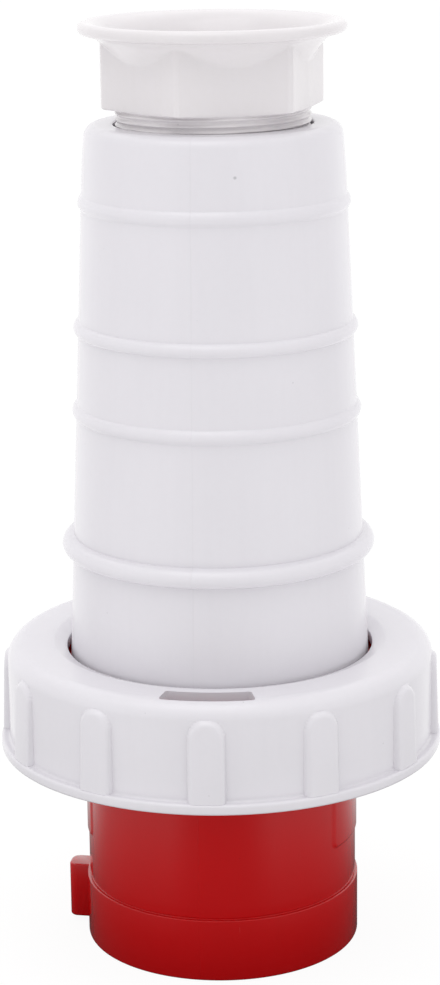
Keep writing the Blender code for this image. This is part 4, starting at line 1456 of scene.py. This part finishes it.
            bpy.data.objects.remove(model)


@dataclass
class Seals:
    """Rubber gasket, spigot ring and cable seal, with the thrust washer over it."""

    steps: int = 160
    gasket_radii: Point = (35.3 * MM, 42.0 * MM)
    gasket_heights: Point = (64.7 * MM, 68.7 * MM)
    gasket_round: float = 0.9 * MM
    channel: Point = (37.9 * MM, 39.4 * MM)
    channel_depth: float = 0.3 * MM
    channel_slope: float = 0.5 * MM
    cord: float = 1.0 * MM
    cord_middle: Point = (33.244 * MM, 78.9 * MM)
    seal_radii: Point = (13.7 * MM, 24.2 * MM)
    seal_heights: Point = (182.9 * MM, 198.9 * MM)
    seal_cone: float = 2.2 * MM
    seal_round: float = 0.4 * MM
    layers: tuple[float, ...] = (20.6 * MM, 19.2 * MM, 17.8 * MM)
    layer_groove: Point = (0.25 * MM, 0.6 * MM)
    washer_radii: Point = (15.5 * MM, 24.0 * MM)
    washer_heights: Point = (199.2 * MM, 200.7 * MM)
    washer_round: float = 0.25 * MM

    def gasket(self) -> Part:
        """Gasket under the flange, with a shallow channel between two sealing ribs."""
        inner, outer = self.gasket_radii
        low, high = self.gasket_heights
        start, end = self.channel
        roof, slope = low + self.channel_depth, self.channel_slope
        corners = [
            Corner(inner, low, 0.3 * MM),
            Corner(start - slope, low),
            Corner(start, roof, 0.3 * MM),
            Corner(end, roof, 0.3 * MM),
            Corner(end + slope, low),
            Corner(outer, low, self.gasket_round),
            Corner(outer, high, self.gasket_round),
            Corner(inner, high, 0.3 * MM),
        ]
        return Bench.smooth(Bench.lathe("flange_sealing_ring", corners, self.steps))

    def spigot_ring(self) -> Part:
        """Round-section ring in the groove of the spigot."""
        radius, height = self.cord_middle
        turns = [TURN * step / 16.0 for step in range(16)]
        corners = [
            Corner(radius + self.cord * math.cos(turn), height + self.cord * math.sin(turn)) for turn in turns
        ]
        return Bench.smooth(Bench.lathe("spigot_seal", corners, self.steps), math.radians(60.0))

    def cable_seal(self) -> Part:
        """Cable seal, coned at both ends, with grooves between its peel-off layers."""
        inner, outer = self.seal_radii
        low, high = self.seal_heights
        cone, edge = self.seal_cone, self.seal_round
        half, depth = self.layer_groove
        corners = [
            Corner(inner, low + cone),
            Corner(inner + cone, low, edge),
            Corner(outer, low, edge),
            Corner(outer, high - cone, edge),
            Corner(outer - cone, high, 0.3 * MM),
        ]
        for radius in self.layers:
            groove = ((radius + half, high), (radius, high - depth), (radius - half, high))
            corners += [Corner(*place) for place in groove]
        corners += [Corner(inner + cone, high, edge), Corner(inner, high - cone)]
        return Bench.smooth(Bench.lathe("cable_seal_ring", corners, self.steps), math.radians(28.0))

    def washer(self) -> Part:
        """Thrust washer between the nut and the cable seal."""
        inner, outer = self.washer_radii
        low, high = self.washer_heights
        places = ((inner, low), (outer, low), (outer, high), (inner, high))
        corners = [Corner(*place, self.washer_round) for place in places]
        return Bench.smooth(Bench.lathe("gland_washer", corners, self.steps))

    def build(self, wardrobe: Wardrobe) -> None:
        """Make and dress the seals and the washer."""
        wardrobe.dress(self.gasket(), Finish.RUBBER, Body.PLUG, ["flange_gasket"])
        wardrobe.dress(self.spigot_ring(), Finish.RUBBER, Body.PLUG, ["handle_seal"])
        seal = wardrobe.dress(self.cable_seal(), Finish.RUBBER, Body.PLUG, ["cable_seal"])
        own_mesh(seal)
        wardrobe.dress(self.washer(), Finish.GLAND, Body.WASHER, ["gland_thrust_washer"])


@dataclass
class Studio:
    """White studio: floor, even surroundings, a softbox and the photo's camera."""

    ambient: float = 0.86
    sky_lift: float = 0.3
    floor_light: float = 1.17
    front_dimming: float = 0.08
    gloss_plain: float = 0.5
    gloss_front: float = 0.8
    gloss_boards: float = 0.6
    gloss_sky: float = 0.7
    floor_share: float = 0.9
    floor_glow: float = 1.03
    floor_pale: Colour = (0.86, 0.86, 0.86)
    # painted shade: the floor's colour near the plug for bounced light, dark so that the shroud's foot comes
    # out darker
    painted_shade_near: Colour = (0.12, 0.12, 0.12)
    far: Point = (0.05, 0.17)
    floor_size: float = 12.0
    glossy_front: Point = (0.75, 1.0)
    glossy_back: Point = (-0.8, -0.1)
    lit_front: Point = (0.2, 0.95)
    overhead: Point = (0.4, 0.85)
    softbox: Place = (-0.1, -0.3, 1.1)
    softbox_aim: Place = (0.0, 0.0, 0.12)
    softbox_size: float = 0.7
    softbox_power: float = 1.5
    sensor: float = 36.0
    lens: float = 98.35
    distance: float = 679.7 * MM
    elevation: float = math.radians(14.79)
    roll: float = math.radians(-0.71)
    yaw: float = math.radians(9.8)
    aim: float = 117.6 * MM
    aside: float = 0.53 * MM

    @staticmethod
    def rays(board: Board) -> tuple[Signal, Signal]:
        """Whether a ray comes from the camera, and whether gloss or glass sends it on."""
        outputs = board.add("ShaderNodeLightPath", {}, {}).socket.node.outputs
        kinds = ("Camera", "Glossy", "Transmission")
        camera, glossy, glass = [Signal(board, outputs[f"Is {kind} Ray"]) for kind in kinds]
        return camera, glossy + glass

    def front(self) -> Place:
        """Level direction from the plug to the camera."""
        return math.sin(self.yaw), -math.cos(self.yaw), 0.0

    def boards(self, ahead: Signal) -> Signal:
        """What gloss sees around the plug: dark in front and paler boards at the sides and behind.

        Args:
            ahead: cosine of the angle between a direction and the front.

        Returns:
            The strength of the light from that direction.
        """
        dark = ahead.above(*self.glossy_front) * self.gloss_front
        return (1.0 - dark) * self.gloss_plain + (1.0 - ahead.above(*self.glossy_back)) * self.gloss_boards

    def surroundings(self) -> None:
        """White world that lights the plug evenly, a little dimmer from the camera's side."""
        world = bpy.data.worlds.new("studio")
        bpy.context.scene.world = world
        board = Board(world)
        camera, sent_on = self.rays(board)
        direction = board.add("ShaderNodeTexCoord", {}, {}, "Generated")
        ahead = board.measure("DOT_PRODUCT", direction, self.front())
        sky = board.measure("DOT_PRODUCT", direction, UP).above(*self.overhead)
        gloss = self.boards(ahead) + sky * self.gloss_sky
        dimmed = 1.0 - ahead.above(*self.lit_front) * self.front_dimming
        light = (dimmed + sky * self.sky_lift) * self.ambient
        plain = 1.0 - camera - sent_on
        strength = camera + sent_on * gloss + plain * light
        board.show(board.add("ShaderNodeBackground", {}, {"Color": WHITE, "Strength": strength}))

    def floor(self) -> Part:
        """Wide pale floor that looks white, keeps the plug's shadow and glows farther out; close to the plug
        it is dark to bounced light, a painted shade for the shroud's foot.
        """
        Bench.pick()
        bpy.ops.mesh.primitive_plane_add(size=self.floor_size, location=ORIGIN)
        floor = Bench.named("studio_floor")
        board = Board(bpy.data.materials.new("studio_floor"))
        camera, sent_on = self.rays(board)
        away = board.measure("LENGTH", board.place())
        # Painted shade: near the plug, out to the far distances, the floor is dark to all but camera rays, so
        # less light bounces up onto the shroud's foot.
        colour = board.tint(camera, self.painted_shade_near, self.floor_pale)
        matt = board.add("ShaderNodeBsdfDiffuse", {}, {"Color": colour})
        boards = self.boards(board.measure("DOT_PRODUCT", board.place(), self.front()) / away)
        glow = camera * self.floor_glow + sent_on * boards + (1.0 - camera - sent_on) * self.floor_light
        white = board.add("ShaderNodeEmission", {}, {"Color": WHITE, "Strength": glow})
        share = camera * self.floor_share + (1.0 - camera) * away.above(*self.far)
        board.show(board.add("ShaderNodeMixShader", {}, {0: share, 1: matt, 2: white}))
        floor.data.materials.append(board.owner)
        return floor

    def lamp(self) -> None:
        """Softbox over the plug."""
        Bench.pick()
        bpy.ops.object.light_add(type="AREA", location=self.softbox)
        lamp = bpy.context.object
        lamp.name = "softbox_top"
        lamp.data.size = self.softbox_size
        lamp.data.energy = self.softbox_power
        direction = Vector(self.softbox_aim) - Vector(self.softbox)
        lamp.rotation_euler = direction.to_track_quat("-Z", "Y").to_euler()

    def camera(self) -> None:
        """Camera of the photo."""
        right = Vector((math.cos(self.yaw), math.sin(self.yaw), 0.0))
        ahead = Vector((-math.sin(self.yaw), math.cos(self.yaw), 0.0))
        lift = Vector(UP)
        forward = ahead * math.cos(self.elevation) - lift * math.sin(self.elevation)
        upward = ahead * math.sin(self.elevation) + lift * math.cos(self.elevation)
        turned_right = right * math.cos(self.roll) + upward * math.sin(self.roll)
        turned_up = upward * math.cos(self.roll) - right * math.sin(self.roll)
        place = lift * self.aim + right * self.aside - forward * self.distance
        bpy.ops.object.camera_add(location=place)
        camera = bpy.context.object
        camera.name = "photo_camera"
        axes = zip(turned_right, turned_up, -forward)
        camera.matrix_world = Matrix([(*row, 0.0) for row in axes] + [(*ORIGIN, 1.0)])
        camera.location = place
        camera.data.sensor_fit = "VERTICAL"
        camera.data.sensor_height = self.sensor
        camera.data.sensor_width = self.sensor
        camera.data.lens = self.lens
        bpy.context.scene.camera = camera

    def build(self) -> None:
        """Set up the whole studio."""
        bpy.context.scene.view_settings.view_transform = "Standard"
        self.surroundings()
        self.floor()
        self.lamp()
        self.camera()


def main() -> None:
    """Build and dress the plug, sub-assembly by sub-assembly, and set up the studio."""
    logging.basicConfig(level=logging.INFO, format="%(name)s: %(message)s")
    wardrobe = Wardrobe()
    wardrobe.dress(Handle().model(), Finish.HANDLE, Body.PLUG, ["handle_shell"])
    wardrobe.dress(LockingRing().model(), Finish.RING, Body.RING, ["locking_ring"])
    wardrobe.dress(Shroud().model(), Finish.RED, Body.PLUG, ["plug_shroud"])
    wardrobe.dress(GlandNut().model(), Finish.GLAND, Body.NUT, ["gland_nut"])
    Contacts().build(wardrobe)
    Seals().build(wardrobe)
    Studio().build()


if __name__ == "__main__":
    main()
